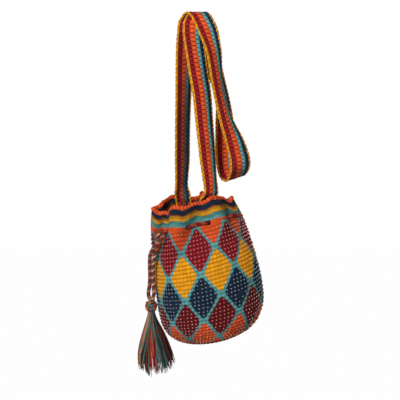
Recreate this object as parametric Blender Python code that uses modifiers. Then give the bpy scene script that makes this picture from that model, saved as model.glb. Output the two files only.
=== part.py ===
"""A small crocheted mochila bag, hung by its woven strap, with a drawstring and a tassel.

Metres, +Z up. The viewer stands on the -Y side. The origin is the middle of the round peg that the
doubled strap hangs over; the peg itself is no part of the bag.
"""
import bisect
import math

import bmesh
import bpy
from mathutils import Matrix, Vector

MM = 0.001

# Bag body. Depths run along the wall from the rim, angles run from the front to the viewer's right.
BAG_HEIGHT = 0.198
BELLY_HEIGHT = 0.064
BELLY_HALF_WIDTH = 0.0725
MOUTH_HALF_WIDTH = 0.0495
BELLY_FLATNESS = 0.86
MOUTH_FLATNESS = 0.64
NECK_TAPER = 2.2
BASE_ROUNDNESS = 0.78
BASE_DROP = 0.77
BAG_WALL = 0.0035
BAG_LEAN = math.radians(11.5)
BASE_SHIFT = 0.0175
BASE_SHIFT_FADE = 0.030
RIM_CENTRE = Vector((-0.0052, 0.0, -0.2375))
BASE_TILT = 0.07

# Gathers of the neck: six soft folds between the drawstring's outer spans.
FOLD_COUNT = 6
FOLD_DEPTH = 0.0050
FOLD_REACH = 0.085
FOLD_PHASE = math.radians(3.0)
CREASE_DEPTH = 0.0012
CREASE_COUNT = 11
CREASE_PHASE = 0.7
RIM_RIPPLE = 0.0012

# How far the rim lies over a flat cut: degrees round from the front, and millimetres.
RIM_LIFTS = (
    (-180, 1.5),
    (-150, 5.6),
    (-115, 6.8),
    (-88, -0.8),
    (-60, -3.8),
    (-45, -3.6),
    (-34, 0.4),
    (-13, 1.3),
    (12, 2.9),
    (30, 3.4),
    (55, 2.4),
    (84, -7.6),
    (102, -7.6),
    (150, -1.0),
    (180, 1.5),
)

# Crochet: stitches round the bag, rows down the wall, and the coloured bands under the rim.
STITCHES_ROUND = 81
ROW_HEIGHT = 0.00515
RIM_BAND = 0.0035
NAVY_BAND = 0.0070
LINE_BAND = 0.0012
YELLOW_BAND = 0.0068
TURQUOISE_BAND = 0.0080
EYELET_BAND = 0.0080
ROW_RELIEF = 0.00035
BEAD_RELIEF = 0.0009
INNER_ROWS = 11
ROW_TILT = 0.0035
TILT_FADE = 0.030

# Lattice of diamonds. The slant is in radians round the bag for each metre down the wall. A
# diamond's width and height are shares of the room that it has; the rest is its outline.
DIAMONDS_ROUND = 9
ROWS_PER_DIAMOND_STEP = 6
FIRST_DIAMOND_DEPTH = 0.060
LATTICE_PHASE = math.radians(-2.8)
LATTICE_SLANT = -1.1
DIAMOND_WIDTH = 0.76
DIAMOND_HEIGHT = 0.88
BASE_RINGS_FROM = 4.55

# Drawstring in the neck.
CORD_DIAMETER = 0.0050
CORD_CLEARANCE = 0.0012
EYELET_CLEARANCE = 0.0007
EYELET_SHARE = 0.75
OUTER_SPAN_HALF = math.radians(12.5)
OUTER_SPANS = 5
CROSSING_SHARPNESS = math.radians(1.8)
CORD_STEP = math.radians(5.0)
CROSSING_WIDTH = 0.0092
EXIT_WIDTH = 0.0064
EXIT_A = math.radians(-57.0)
EXIT_B = math.radians(-43.5)
EXIT_STANDOFF = 0.0055
JOINT_GAP = 0.0003

# Strap: one woven band, run twice over the peg.
PEG_DIAMETER = 0.016
STRAP_WIDTH = 0.028
STRAP_THICKNESS = 0.0030
LAYER_GAP = 0.0006
OUTER_CROWN_X = (-0.0100, 0.0120)
INNER_CROWN_X = (0.0080, -0.0030)
CROWN_PARTS = 6
STRAP_STEP = 0.0065
SEWN_DEPTH = 0.023
SEAM_DIAMETER = 0.0012
SEAM_GAP = 0.0004
SEAM_POINTS = 13
SEAM_SHARE = 0.7
BACK_SEAT_ANGLE = math.radians(192.0)
FRONT_SEAT_ANGLE = math.radians(28.0)
SEAT_CLEARANCE = 0.0009

# Stripe limits across the strap, from its left edge to its right edge.
STRIPE_EDGES = (0.0, 0.13, 0.33, 0.57, 0.72, 0.88, 1.0)
STRIPE_NAMES = ("yellow", "maroon", "orange", "turquoise", "navy", "yellow")

# Tassel.
KNOT_DIAMETER = 0.0166
KNOT_CENTRE = Vector((-0.0606, -0.0185, -0.3784))
SKIRT_LENGTH = 0.080
SKIRT_TOP_RADIUS = 0.0070
SKIRT_BOTTOM_RADIUS = 0.0245
SKIRT_LEAN = Vector((0.0058, -0.0050, 0.0))
SKIRT_FLARE = 1.35
SKIRT_FLUTES = 12
SKIRT_RINGS = 9
SKIRT_HOLLOW = 0.0012
FLUTE_DEPTH = 0.0016

# Route of the strap above its sewn ends: x, y, z in millimetres, the turn in degrees of its width
# about the vertical, where 0 lies along X and a positive turn takes the right edge back, and the
# tilt in degrees that lifts its right edge.
BACK_STRAND = (
    (-18.6, 24.4, -223, 38, 0),
    (-18.4, 24.8, -208, 44, 0),
    (-18.2, 24.9, -194, 44, 0),
    (-18.0, 24.4, -168, 45, 0),
    (-17.6, 23.5, -137, 44, 0),
    (-16.6, 22.0, -103, 42, 0),
    (-15.6, 20.0, -68, 36, 0),
    (-13.6, 17.5, -33, 20, 0),
    (-11.5, 14.6, -14, 5, 0),
)
LOOP_STRAND = (
    (15.6, -15.0, -9, 12, 0),
    (19.6, -17.4, -22, 32, 0),
    (23.8, -19.0, -38, 44, 0),
    (29.0, -20.0, -73, 58, 0),
    (34.0, -20.0, -98, 58, 0),
    (41.4, -19.5, -125, 50, 0),
    (50.4, -18.5, -149, 28, 2),
    (55.8, -17.0, -167, 10, 4),
    (58.8, -15.0, -181, 2, 8),
    (58.6, -10.0, -195, 0, 14),
    (53.4, -1.0, -205, 0, 19),
    (46.0, 6.5, -203, 0, 17),
    (41.8, 11.0, -192, 0, 10),
    (40.0, 13.5, -170, 4, 3),
    (39.2, 15.0, -138, 22, 0),
    (36.6, 16.0, -104, 46, 0),
    (27.0, 15.0, -68, 40, 0),
    (15.0, 12.6, -33, 16, 0),
    (10.2, 10.8, -14, 2, 0),
)
FRONT_STRAND = (
    (-3.2, -10.8, -14, 4, 0),
    (-0.8, -13.4, -33, 16, 0),
    (3.8, -15.6, -62, 21, 0),
    (9.0, -18.0, -93, 27, 0),
    (12.4, -20.5, -129, 33, 0),
    (15.8, -23.0, -163, 38, 0),
    (18.6, -23.4, -196, 42, 0),
    (19.6, -23.8, -221, 34, 0),
)

# Routes of the two tails of the drawstring from their eyelets to the knot, in millimetres.
TAIL_A_ROUTE = (
    (-51.8, -31.0, -290),
    (-55.4, -29.8, -308),
    (-57.4, -27.4, -324),
    (-57.6, -25.0, -342),
    (-57.0, -23.8, -360),
)
TAIL_B_ROUTE = (
    (-47.6, -38.5, -284),
    (-56.0, -36.0, -294),
    (-61.0, -28.3, -305),
    (-62.2, -22.0, -320),
    (-62.2, -17.6, -338),
    (-63.2, -15.4, -352),
    (-64.6, -15.0, -362),
)

COLOURS = {
    "orange": (0.64, 0.085, 0.018),
    "maroon": (0.22, 0.012, 0.012),
    "yellow": (0.71, 0.26, 0.010),
    "navy": (0.018, 0.032, 0.070),
    "turquoise": (0.10, 0.36, 0.37),
    "inside": (0.30, 0.10, 0.05),
}


def clear_scene():
    for item in list(bpy.data.objects):
        bpy.data.objects.remove(item, do_unlink=True)


def new_collection(name):
    collection = bpy.data.collections.new(name)
    bpy.context.scene.collection.children.link(collection)
    return collection


def fabric(name, colour, roughness=0.9):
    material = bpy.data.materials.new(name)
    material.use_nodes = True
    shader = material.node_tree.nodes["Principled BSDF"]
    shader.inputs["Base Color"].default_value = (*colour, 1.0)
    shader.inputs["Roughness"].default_value = roughness
    return material


def palette(prefix, names):
    return [fabric(f"{prefix}_{name}", COLOURS[name]) for name in names]


def smoothstep(value):
    value = min(1.0, max(0.0, value))
    return value * value * (3.0 - 2.0 * value)


def smooth_route(points, step):
    """Even steps along a smooth curve through points of any dimension."""
    ends = [2.0 * points[0] - points[1]] + list(points) + [2.0 * points[-1] - points[-2]]
    dense = []
    for before, start, stop, after in zip(ends, ends[1:], ends[2:], ends[3:]):
        for part in range(24):
            t = part / 24
            dense.append(0.5 * (2.0 * start + (stop - before) * t
                                + (2.0 * before - 5.0 * start + 4.0 * stop - after) * t * t
                                + (3.0 * start - before - 3.0 * stop + after) * t * t * t))
    dense.append(points[-1])
    lengths = [0.0]
    for one, two in zip(dense, dense[1:]):
        lengths.append(lengths[-1] + (two.xyz - one.xyz).length)
    count = max(2, round(lengths[-1] / step))
    route = []
    place = 0
    for index in range(count + 1):
        wanted = lengths[-1] * index / count
        while place < len(dense) - 2 and lengths[place + 1] < wanted:
            place += 1
        span = lengths[place + 1] - lengths[place]
        share = (wanted - lengths[place]) / span if span > 0.0 else 0.0
        route.append(dense[place].lerp(dense[place + 1], min(1.0, share)))
    return route


def bag_outline():
    """The bag's outline from the rim to the middle of the base, as half widths and heights."""
    points = []
    upper = 160
    for index in range(upper):
        t = 1.0 - index / upper
        half_width = BELLY_HALF_WIDTH - (BELLY_HALF_WIDTH - MOUTH_HALF_WIDTH) * t ** NECK_TAPER
        points.append((half_width, BELLY_HEIGHT + (BAG_HEIGHT - BELLY_HEIGHT) * t))
    lower = 240
    for index in range(lower + 1):
        turn = 0.5 * math.pi * index / lower
        half_width = BELLY_HALF_WIDTH * max(0.0, math.cos(turn)) ** BASE_ROUNDNESS
        points.append((half_width, BELLY_HEIGHT * (1.0 - math.sin(turn) ** BASE_DROP)))
    points[-1] = (0.0, 0.0)
    return points


OUTLINE = bag_outline()
OUTLINE_DEPTHS = [0.0]
for upper_point, lower_point in zip(OUTLINE, OUTLINE[1:]):
    OUTLINE_DEPTHS.append(OUTLINE_DEPTHS[-1] + math.dist(upper_point, lower_point))
BASE_DEPTH = OUTLINE_DEPTHS[-1]


def outline_at(depth):
    """Half width, height and outward direction of the outline at a depth along the wall."""
    depth = min(BASE_DEPTH, max(0.0, depth))
    index = min(len(OUTLINE) - 2, max(0, bisect.bisect_left(OUTLINE_DEPTHS, depth) - 1))
    (r0, h0), (r1, h1) = OUTLINE[index], OUTLINE[index + 1]
    span = OUTLINE_DEPTHS[index + 1] - OUTLINE_DEPTHS[index]
    share = (depth - OUTLINE_DEPTHS[index]) / span
    across, along = (h0 - h1) / span, (r1 - r0) / span
    return r0 + (r1 - r0) * share, h0 + (h1 - h0) * share, across, along


def flatness(height):
    rise = (height - BELLY_HEIGHT) / (BAG_HEIGHT - BELLY_HEIGHT)
    return BELLY_FLATNESS + (MOUTH_FLATNESS - BELLY_FLATNESS) * smoothstep(rise)


def fold(angle, depth):
    """How far the gathers push the wall out (positive) or in."""
    fade = 1.0 - smoothstep(depth / FOLD_REACH)
    wave = -FOLD_DEPTH * math.cos(FOLD_COUNT * (angle - FOLD_PHASE))
    crease = CREASE_DEPTH * math.sin(CREASE_COUNT * angle + CREASE_PHASE) * fade
    return fade * (wave + crease)


def rim_lift(angle):
    """How far the rim lies over a flat cut at an angle."""
    place = (math.degrees(angle) + 180.0) % 360.0 - 180.0
    index = bisect.bisect_right([start for start, _ in RIM_LIFTS], place) - 1
    (start, low), (stop, high) = RIM_LIFTS[index:index + 2]
    return MM * (low + (high - low) * smoothstep((place - start) / (stop - start)))


def tilted(angle, depth):
    """Where a row really lies: under the neck the rows climb towards the viewer's right."""
    under_neck = smoothstep((depth - NECK_DEPTH) / TILT_FADE)
    over_base = smoothstep((BASE_DEPTH - depth) / TILT_FADE)
    return depth - ROW_TILT * under_neck * over_base * math.sin(angle)


def bag_point(angle, depth, offset):
    """A point of the bag: angle from the front, depth under the rim, offset out of the wall."""
    depth = tilted(angle, depth)
    half_width, height, across, along = outline_at(depth)
    flat = flatness(height)
    normal = Vector((flat * math.sin(angle), -math.cos(angle)))
    normal.normalize()
    push = offset + fold(angle, depth)
    fade = 1.0 - smoothstep(depth / FOLD_REACH)
    x = half_width * math.sin(angle) + push * across * normal.x
    y = -flat * half_width * math.cos(angle) + push * across * normal.y
    rise = height - BAG_HEIGHT + push * along
    rise += RIM_RIPPLE * fade * fade * math.cos(2.0 * FOLD_COUNT * (angle - FOLD_PHASE))
    rise += rim_lift(angle) * fade * fade
    rise -= BASE_TILT * x * smoothstep(1.0 - height / BELLY_HEIGHT)
    shift = BASE_SHIFT * (math.exp(-BAG_HEIGHT / BASE_SHIFT_FADE) - math.exp(-height / BASE_SHIFT_FADE))
    lean, level = math.sin(BAG_LEAN), math.cos(BAG_LEAN)
    return RIM_CENTRE + Vector((x * level - rise * lean + shift, y, x * lean + rise * level))


# The lattice: what colour a stitch has.
NECK_BANDS = (
    (RIM_BAND, "orange"),
    (NAVY_BAND, "navy"),
    (LINE_BAND, "orange"),
    (YELLOW_BAND, "yellow"),
    (TURQUOISE_BAND, "turquoise"),
    (EYELET_BAND, "orange"),
)
NECK_DEPTH = sum(band for band, _ in NECK_BANDS)
EYELET_DEPTH = NECK_DEPTH - EYELET_SHARE * EYELET_BAND
DIAMOND_COLOURS = {-1: "orange", 0: "maroon", 1: "yellow", 2: "navy", 3: "maroon", 4: "orange"}
BEADED_ROWS = (0, 2, 3, 4)
BASE_COLOURS = ("turquoise", "maroon", "navy", "orange")


def diamond_at(angle, depth):
    """Row and closeness to the edge (0 in the middle, 1 at the outline) of the nearest diamond."""
    turn = LATTICE_PHASE + LATTICE_SLANT * (depth - FIRST_DIAMOND_DEPTH)
    across = (angle - turn) * DIAMONDS_ROUND / (2.0 * math.pi)
    down = (depth - FIRST_DIAMOND_DEPTH) / (ROWS_PER_DIAMOND_STEP * ROW_HEIGHT)
    best = (9.0, 0)
    for row in (math.floor(down), math.floor(down) + 1):
        shifted = across - 0.5 * (row % 2)
        off = abs(shifted - round(shifted))
        best = min(best, (2.0 * off / DIAMOND_WIDTH + abs(down - row) / DIAMOND_HEIGHT, row))
    return best[1], best[0]


def stitch_colour(angle, depth):
    top = 0.0
    for band, colour in NECK_BANDS:
        top += band
        if depth < top:
            return colour
    row, edge = diamond_at(angle, depth)
    down = (depth - FIRST_DIAMOND_DEPTH) / (ROWS_PER_DIAMOND_STEP * ROW_HEIGHT)
    if down > BASE_RINGS_FROM:
        ring = int((down - BASE_RINGS_FROM) * ROWS_PER_DIAMOND_STEP / 2)
        return BASE_COLOURS[ring % len(BASE_COLOURS)]
    if edge > 1.0:
        return "turquoise"
    return DIAMOND_COLOURS.get(row, "orange")


def is_beaded(angle, depth):
    row, edge = diamond_at(angle, depth)
    return row in BEADED_ROWS and edge < 1.0 and depth > NECK_DEPTH


def row_depths():
    depths = [0.0]
    for band, _ in NECK_BANDS:
        depths.append(depths[-1] + band)
    while depths[-1] + 1.6 * ROW_HEIGHT < BASE_DEPTH:
        depths.append(depths[-1] + ROW_HEIGHT)
    return depths


def bag_profile():
    """Half width, height, depth and offset of each profile point: down the outside, up the inside."""
    profile = []
    for depth in row_depths():
        half_width, height, _, _ = outline_at(depth)
        profile.append((half_width, height, depth, 0.0))
    profile.append((0.0, 0.0, BASE_DEPTH, 0.0))
    profile.append((0.0, BAG_WALL, BASE_DEPTH, -BAG_WALL))
    for index in range(1, INNER_ROWS + 1):
        depth = BASE_DEPTH * (1.0 - index / INNER_ROWS)
        half_width, height, across, along = outline_at(depth)
        profile.append((half_width - BAG_WALL * across, height - BAG_WALL * along, depth, -BAG_WALL))
    return profile


def turned_bag():
    """The plain turned bag as a mesh, and its profile."""
    profile = bag_profile()
    mesh = bpy.data.meshes.new("bag_profile")
    points = [(half_width, 0.0, height) for half_width, height, _, _ in profile]
    edges = [(index, index + 1) for index in range(len(points) - 1)]
    edges.append((len(points) - 1, 0))
    edges.remove((len(row_depths()), len(row_depths()) + 1))
    mesh.from_pydata(points, edges, [])
    guide = bpy.data.objects.new("bag_profile", mesh)
    bpy.context.scene.collection.objects.link(guide)
    screw = guide.modifiers.new("turn", "SCREW")
    screw.steps = STITCHES_ROUND
    screw.render_steps = STITCHES_ROUND
    screw.use_merge_vertices = True
    screw.merge_threshold = 0.0001
    graph = bpy.context.evaluated_depsgraph_get()
    turned = bpy.data.meshes.new_from_object(guide.evaluated_get(graph))
    bpy.data.objects.remove(guide, do_unlink=True)
    return turned, profile


def form_bag(mesh, profile):
    """Move the turned bag's points to the hanging, gathered form, with its stitch relief."""
    row_count = len(row_depths())
    for vertex in mesh.vertices:
        radius = math.hypot(vertex.co.x, vertex.co.y)
        angle = math.atan2(vertex.co.x, -vertex.co.y)
        nearest = min(range(len(profile)),
                      key=lambda i: math.dist((radius, vertex.co.z), profile[i][:2]))
        depth, offset = profile[nearest][2:]
        if 0 < nearest < row_count and depth > NECK_DEPTH:
            stitch = round(angle * STITCHES_ROUND / (2.0 * math.pi))
            if is_beaded(angle, depth):
                offset += BEAD_RELIEF * ((nearest + stitch) % 2)
            else:
                offset += ROW_RELIEF * (nearest % 2)
        vertex.co = bag_point(angle, depth, offset)


def colour_bag(mesh, turned, profile):
    """Give each face the colour of its stitch, from its place on the plain turned bag."""
    names = list(COLOURS)
    for polygon, plain in zip(mesh.polygons, turned):
        radius = math.hypot(plain.x, plain.y)
        angle = math.atan2(plain.x, -plain.y)
        nearest = min(range(len(profile)), key=lambda i: math.dist((radius, plain.z), profile[i][:2]))
        depth, offset = profile[nearest][2:]
        if offset < 0.0:
            polygon.material_index = names.index("inside")
            continue
        here = outline_at(depth)
        down = (radius - here[0]) * here[3] - (plain.z - here[1]) * here[2]
        polygon.material_index = names.index(stitch_colour(angle, depth + down))


def eyelet_angles():
    """Angle and width of each eyelet: two for each outer span, and the two exits."""
    eyelets = []
    for index in range(OUTER_SPANS):
        middle = FOLD_PHASE + index * 2.0 * math.pi / FOLD_COUNT
        eyelets.append((middle - OUTER_SPAN_HALF, CROSSING_WIDTH))
        eyelets.append((middle + OUTER_SPAN_HALF, CROSSING_WIDTH))
    eyelets.append((EXIT_A, EXIT_WIDTH))
    eyelets.append((EXIT_B, EXIT_WIDTH))
    return eyelets


def wall_frame(angle, depth, offset):
    """Place and directions of the neck wall, folds left out: along it, down it and out of it."""
    step = 2.0 * MM
    flat = flatness(outline_at(depth)[1])
    lean, level = math.sin(BAG_LEAN), math.cos(BAG_LEAN)
    out = Vector((flat * math.sin(angle), -math.cos(angle), 0.0)).normalized()
    out = Vector((out.x * level, out.y, out.x * lean))
    down = (bag_point(angle, depth + step, 0.0) - bag_point(angle, depth - step, 0.0)).normalized()
    along = down.cross(out).normalized()
    down = out.cross(along).normalized()
    frame = Matrix((along, down, out)).transposed().to_4x4()
    frame.translation = bag_point(angle, depth, offset)
    return frame


def make_eyelet_cutter(collection):
    mesh = bpy.data.meshes.new("eyelet_cutter")
    build = bmesh.new()
    height = CORD_DIAMETER + 2.0 * EYELET_CLEARANCE
    through = BAG_WALL + 2.4 * FOLD_DEPTH
    for angle, width in eyelet_angles():
        frame = wall_frame(angle, EYELET_DEPTH, -0.5 * BAG_WALL)
        size = Matrix.Diagonal((width, height, through, 1.0))
        bmesh.ops.create_cube(build, size=1.0, matrix=frame @ size)
    build.to_mesh(mesh)
    build.free()
    cutter = bpy.data.objects.new("eyelet_cutter", mesh)
    cutter.hide_render = True
    cutter.display_type = "WIRE"
    collection.objects.link(cutter)
    return cutter


def make_bag_body(collection, cutters):
    mesh, profile = turned_bag()
    plain = [polygon.center.copy() for polygon in mesh.polygons]
    for material in palette("bag_body", COLOURS):
        mesh.materials.append(material)
    form_bag(mesh, profile)
    colour_bag(mesh, plain, profile)
    mesh.shade_smooth()
    mesh.name = "bag_body"
    body = bpy.data.objects.new("bag_body", mesh)
    collection.objects.link(body)
    eyelets = body.modifiers.new("eyelets", "BOOLEAN")
    eyelets.operation = "DIFFERENCE"
    eyelets.solver = "EXACT"
    eyelets.object = make_eyelet_cutter(cutters)
    return body


def cord_offset(angle):
    """How far the drawstring's middle lies out of the wall at an angle round the neck."""
    outside = CORD_CLEARANCE + 0.5 * CORD_DIAMETER
    inside = -BAG_WALL - CORD_CLEARANCE - 0.5 * CORD_DIAMETER
    period = 2.0 * math.pi / FOLD_COUNT
    turns = round((angle - FOLD_PHASE) / period)
    turns = min(OUTER_SPANS - 1, max(0, turns))
    away = abs(angle - FOLD_PHASE - turns * period)
    swing = math.tanh((OUTER_SPAN_HALF - away) / CROSSING_SHARPNESS)
    return 0.5 * (outside + inside) + 0.5 * (outside - inside) * swing


def neck_route():
    """The drawstring from the second exit, round the neck, to the first exit."""
    inside = cord_offset(EXIT_B)
    end_offset = EXIT_STANDOFF - 0.5 * CORD_DIAMETER - JOINT_GAP
    last_exit = EXIT_A + 2.0 * math.pi
    run = FOLD_PHASE - OUTER_SPAN_HALF - 2.5 * CORD_STEP
    route = [bag_point(EXIT_B, EYELET_DEPTH, end_offset),
             bag_point(EXIT_B, EYELET_DEPTH, 0.5 * inside),
             bag_point(EXIT_B + 0.45 * CORD_STEP, EYELET_DEPTH, 0.9 * inside),
             bag_point(EXIT_B + 1.4 * CORD_STEP, EYELET_DEPTH, inside)]
    while run < last_exit - 1.2 * CORD_STEP:
        if run > EXIT_B + 2.0 * CORD_STEP:
            route.append(bag_point(run, EYELET_DEPTH, cord_offset(run)))
        run += CORD_STEP
    route.append(bag_point(last_exit - 0.45 * CORD_STEP, EYELET_DEPTH, 0.9 * inside))
    route.append(bag_point(last_exit, EYELET_DEPTH, 0.5 * inside))
    route.append(bag_point(last_exit, EYELET_DEPTH, end_offset))
    return route


def make_tube(name, route, diameter, colour, collection, rounded_start=False):
    """A round cord through the points of a route; a rounded start is a half ball about the first."""
    curve = bpy.data.curves.new(name, "CURVE")
    curve.dimensions = "3D"
    curve.bevel_depth = 0.5 * diameter
    curve.bevel_resolution = 2
    curve.use_fill_caps = True
    places = [(point, 1.0) for point in route]
    if rounded_start:
        back = (route[0] - route[1]).normalized() * 0.5 * diameter
        caps = [(route[0] + back * math.sin(turn), math.cos(turn)) for turn in (1.35, 1.0, 0.5)]
        places = caps + places
    spline = curve.splines.new("POLY")
    spline.points.add(len(places) - 1)
    for target, (point, size) in zip(spline.points, places):
        target.co = (*point, 1.0)
        target.radius = size
    curve.materials.append(fabric(f"{name}_yarn", COLOURS[colour]))
    tube = bpy.data.objects.new(name, curve)
    collection.objects.link(tube)
    return tube


def millimetre_stations(rows):
    return [Vector((x * MM, y * MM, z * MM, math.radians(turn), math.radians(tilt)))
            for x, y, z, turn, tilt in rows]


def crown(radius, x_back, x_front):
    """The strap over the peg, from the back to the front."""
    stations = []
    for index in range(CROWN_PARTS + 1):
        turn = math.pi * index / CROWN_PARTS
        across = x_back + (x_front - x_back) * index / CROWN_PARTS
        stations.append(Vector((across, radius * math.cos(turn), radius * math.sin(turn), 0.0, 0.0)))
    return stations


def seat_frame(angle, depth):
    """Where a sewn end lies flat against the wall's inner side: its middle, width and inward way."""
    half_spread = math.radians(1.0)
    while True:
        left = bag_point(angle - half_spread, depth, -BAG_WALL)
        right = bag_point(angle + half_spread, depth, -BAG_WALL)
        if (right - left).xy.length > STRAP_WIDTH:
            break
        half_spread += math.radians(0.5)
    if left.x > right.x:
        left, right = right, left
    width = Vector((right.x - left.x, right.y - left.y, 0.0)).normalized()
    inward = Vector((-width.y, width.x, 0.0))
    if inward.dot(RIM_CENTRE - left) < 0.0:
        inward = -inward
    samples = 12
    bulge = 0.0
    for index in range(-samples, samples + 1):
        wall = bag_point(angle + half_spread * index / samples, depth, -BAG_WALL)
        bulge = max(bulge, (wall - left).dot(inward))
    return 0.5 * (left + right) + inward * (bulge + SEAT_CLEARANCE), width, inward


def seat_stations(angle):
    """The sewn end of the strap, from its end inside the bag up to the rim."""
    stations = []
    for depth in (SEWN_DEPTH, 0.5 * SEWN_DEPTH, 0.0):
        seat, width, inward = seat_frame(angle, depth)
        middle = seat + inward * 0.5 * STRAP_THICKNESS
        stations.append(Vector((*middle, math.atan2(width.y, width.x), 0.0)))
    return stations


def strap_stations():
    inner = 0.5 * PEG_DIAMETER + LAYER_GAP + 0.5 * STRAP_THICKNESS
    outer = inner + STRAP_THICKNESS + LAYER_GAP
    stations = seat_stations(BACK_SEAT_ANGLE)
    stations += millimetre_stations(BACK_STRAND)
    stations += crown(outer, *OUTER_CROWN_X)
    stations += millimetre_stations(LOOP_STRAND)
    stations += crown(inner, *INNER_CROWN_X)
    stations += millimetre_stations(FRONT_STRAND)
    stations += reversed(seat_stations(FRONT_SEAT_ANGLE))
    return smooth_route(stations, STRAP_STEP)


def strap_section():
    """Points round the strap's section: share of the width, share of the thickness, stripe."""
    front = []
    for index, edge in enumerate(STRIPE_EDGES):
        height = 0.28 if index in (0, len(STRIPE_EDGES) - 1) else 0.5
        front.append((edge - 0.5, height))
    back = [(across, -height) for across, height in reversed(front)]
    return front + back


def strap_frame(stations, index):
    """Middle, width direction and outward direction of the strap at a station."""
    station = stations[index]
    before = stations[max(0, index - 1)].xyz
    after = stations[min(len(stations) - 1, index + 1)].xyz
    turn, tilt = station[3], station[4]
    width = Vector((math.cos(turn) * math.cos(tilt), math.sin(turn) * math.cos(tilt), math.sin(tilt)))
    return station.xyz, width, (after - before).cross(width).normalized()


def make_strap(collection):
    stations = strap_stations()
    section = strap_section()
    build = bmesh.new()
    rings = []
    for index in range(len(stations)):
        middle, width, out = strap_frame(stations, index)
        ring = []
        for across, height in section:
            place = middle + width * across * STRAP_WIDTH + out * height * STRAP_THICKNESS
            ring.append(build.verts.new(place))
        rings.append(ring)
    names = sorted(set(STRIPE_NAMES))
    count = len(section)
    stripes = len(STRIPE_NAMES)
    for one, two in zip(rings, rings[1:]):
        for index in range(count):
            following = (index + 1) % count
            face = build.faces.new((one[index], one[following], two[following], two[index]))
            stripe = index if index < stripes else 2 * stripes - index
            stripe = min(stripes - 1, max(0, stripe))
            face.material_index = names.index(STRIPE_NAMES[stripe])
    build.faces.new(rings[0])
    build.faces.new(rings[-1])
    bmesh.ops.recalc_face_normals(build, faces=build.faces)
    mesh = bpy.data.meshes.new("strap")
    build.to_mesh(mesh)
    build.free()
    for material in palette("strap", names):
        mesh.materials.append(material)
    strap = bpy.data.objects.new("strap", mesh)
    collection.objects.link(strap)
    return strap


def make_seam(name, from_start, collection):
    """The zigzag of sewing thread on the inner face of a sewn end of the strap."""
    stations = strap_stations()
    if not from_start:
        stations.reverse()
    lift = 0.5 * STRAP_THICKNESS + SEAM_GAP + 0.5 * SEAM_DIAMETER
    zigzag = (1, 2, 3, 2)
    route = []
    for index in range(SEAM_POINTS):
        across = STRAP_WIDTH * SEAM_SHARE * (index / (SEAM_POINTS - 1) - 0.5)
        place, width, out = strap_frame(stations, zigzag[index % len(zigzag)])
        if out.dot(RIM_CENTRE - place) < 0.0:
            out = -out
        route.append(place + width * across + out * lift)
    return make_tube(name, route, SEAM_DIAMETER, "orange", collection)


def exit_point(angle):
    """Where a tail of the drawstring starts, in front of its eyelet."""
    return bag_point(angle, EYELET_DEPTH, EXIT_STANDOFF)


def make_tail(name, angle, rows, colour, collection):
    stations = [Vector((*exit_point(angle), 0.0))]
    stations += [Vector((x * MM, y * MM, z * MM, 0.0)) for x, y, z in rows]
    toward = (stations[-1].xyz - KNOT_CENTRE).normalized()
    reach = 0.5 * KNOT_DIAMETER + JOINT_GAP
    stations.append(Vector((*(KNOT_CENTRE + toward * reach), 0.0)))
    route = [station.xyz for station in smooth_route(stations, 1.2 * CORD_DIAMETER)]
    return make_tube(name, route, CORD_DIAMETER, colour, collection, rounded_start=True)


def make_knot(collection):
    mesh = bpy.data.meshes.new("tassel_knot")
    build = bmesh.new()
    bmesh.ops.create_uvsphere(build, u_segments=20, v_segments=12, radius=0.5 * KNOT_DIAMETER)
    build.to_mesh(mesh)
    build.free()
    mesh.shade_smooth()
    mesh.materials.append(fabric("tassel_knot_yarn", COLOURS["orange"]))
    knot = bpy.data.objects.new("tassel_knot", mesh)
    knot.location = KNOT_CENTRE
    collection.objects.link(knot)
    return knot


def skirt_radius(share):
    spread = math.sin(0.5 * math.pi * share) ** SKIRT_FLARE
    return SKIRT_TOP_RADIUS + (SKIRT_BOTTOM_RADIUS - SKIRT_TOP_RADIUS) * spread


def make_skirt(collection):
    """The tassel's bundle of yarn ends as one fluted solid."""
    points = [(0.0, 0.0, 0.0)]
    for index in range(SKIRT_RINGS):
        share = index / (SKIRT_RINGS - 1)
        points.append((skirt_radius(share), 0.0, -SKIRT_LENGTH * share))
    points.append((0.0, 0.0, SKIRT_HOLLOW - SKIRT_LENGTH))
    mesh = bpy.data.meshes.new("skirt_profile")
    mesh.from_pydata(points, [(index, index + 1) for index in range(len(points) - 1)], [])
    guide = bpy.data.objects.new("skirt_profile", mesh)
    bpy.context.scene.collection.objects.link(guide)
    screw = guide.modifiers.new("turn", "SCREW")
    screw.steps = 4 * SKIRT_FLUTES
    screw.render_steps = 4 * SKIRT_FLUTES
    screw.use_merge_vertices = True
    screw.merge_threshold = 0.0001
    graph = bpy.context.evaluated_depsgraph_get()
    skirt_mesh = bpy.data.meshes.new_from_object(guide.evaluated_get(graph))
    bpy.data.objects.remove(guide, do_unlink=True)
    for vertex in skirt_mesh.vertices:
        share = -vertex.co.z / SKIRT_LENGTH
        angle = math.atan2(vertex.co.y, vertex.co.x)
        radius = math.hypot(vertex.co.x, vertex.co.y)
        if radius > 0.0:
            flute = FLUTE_DEPTH * share * math.cos(SKIRT_FLUTES * angle)
            vertex.co.x *= (radius + flute) / radius
            vertex.co.y *= (radius + flute) / radius
        vertex.co += SKIRT_LEAN * share
    skirt_mesh.shade_smooth()
    skirt_mesh.name = "tassel_skirt"
    skirt_mesh.materials.append(fabric("tassel_skirt_yarn", COLOURS["maroon"]))
    skirt = bpy.data.objects.new("tassel_skirt", skirt_mesh)
    skirt.location = KNOT_CENTRE - Vector((0.0, 0.0, 0.5 * KNOT_DIAMETER + JOINT_GAP))
    collection.objects.link(skirt)
    return skirt


def add_empty(name, location, collection):
    empty = bpy.data.objects.new(name, None)
    empty.location = location
    collection.objects.link(empty)
    bpy.context.view_layer.update()
    return empty


def attach(children, parent):
    for child in children:
        child.parent = parent
        child.matrix_parent_inverse = parent.matrix_world.inverted()


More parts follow.
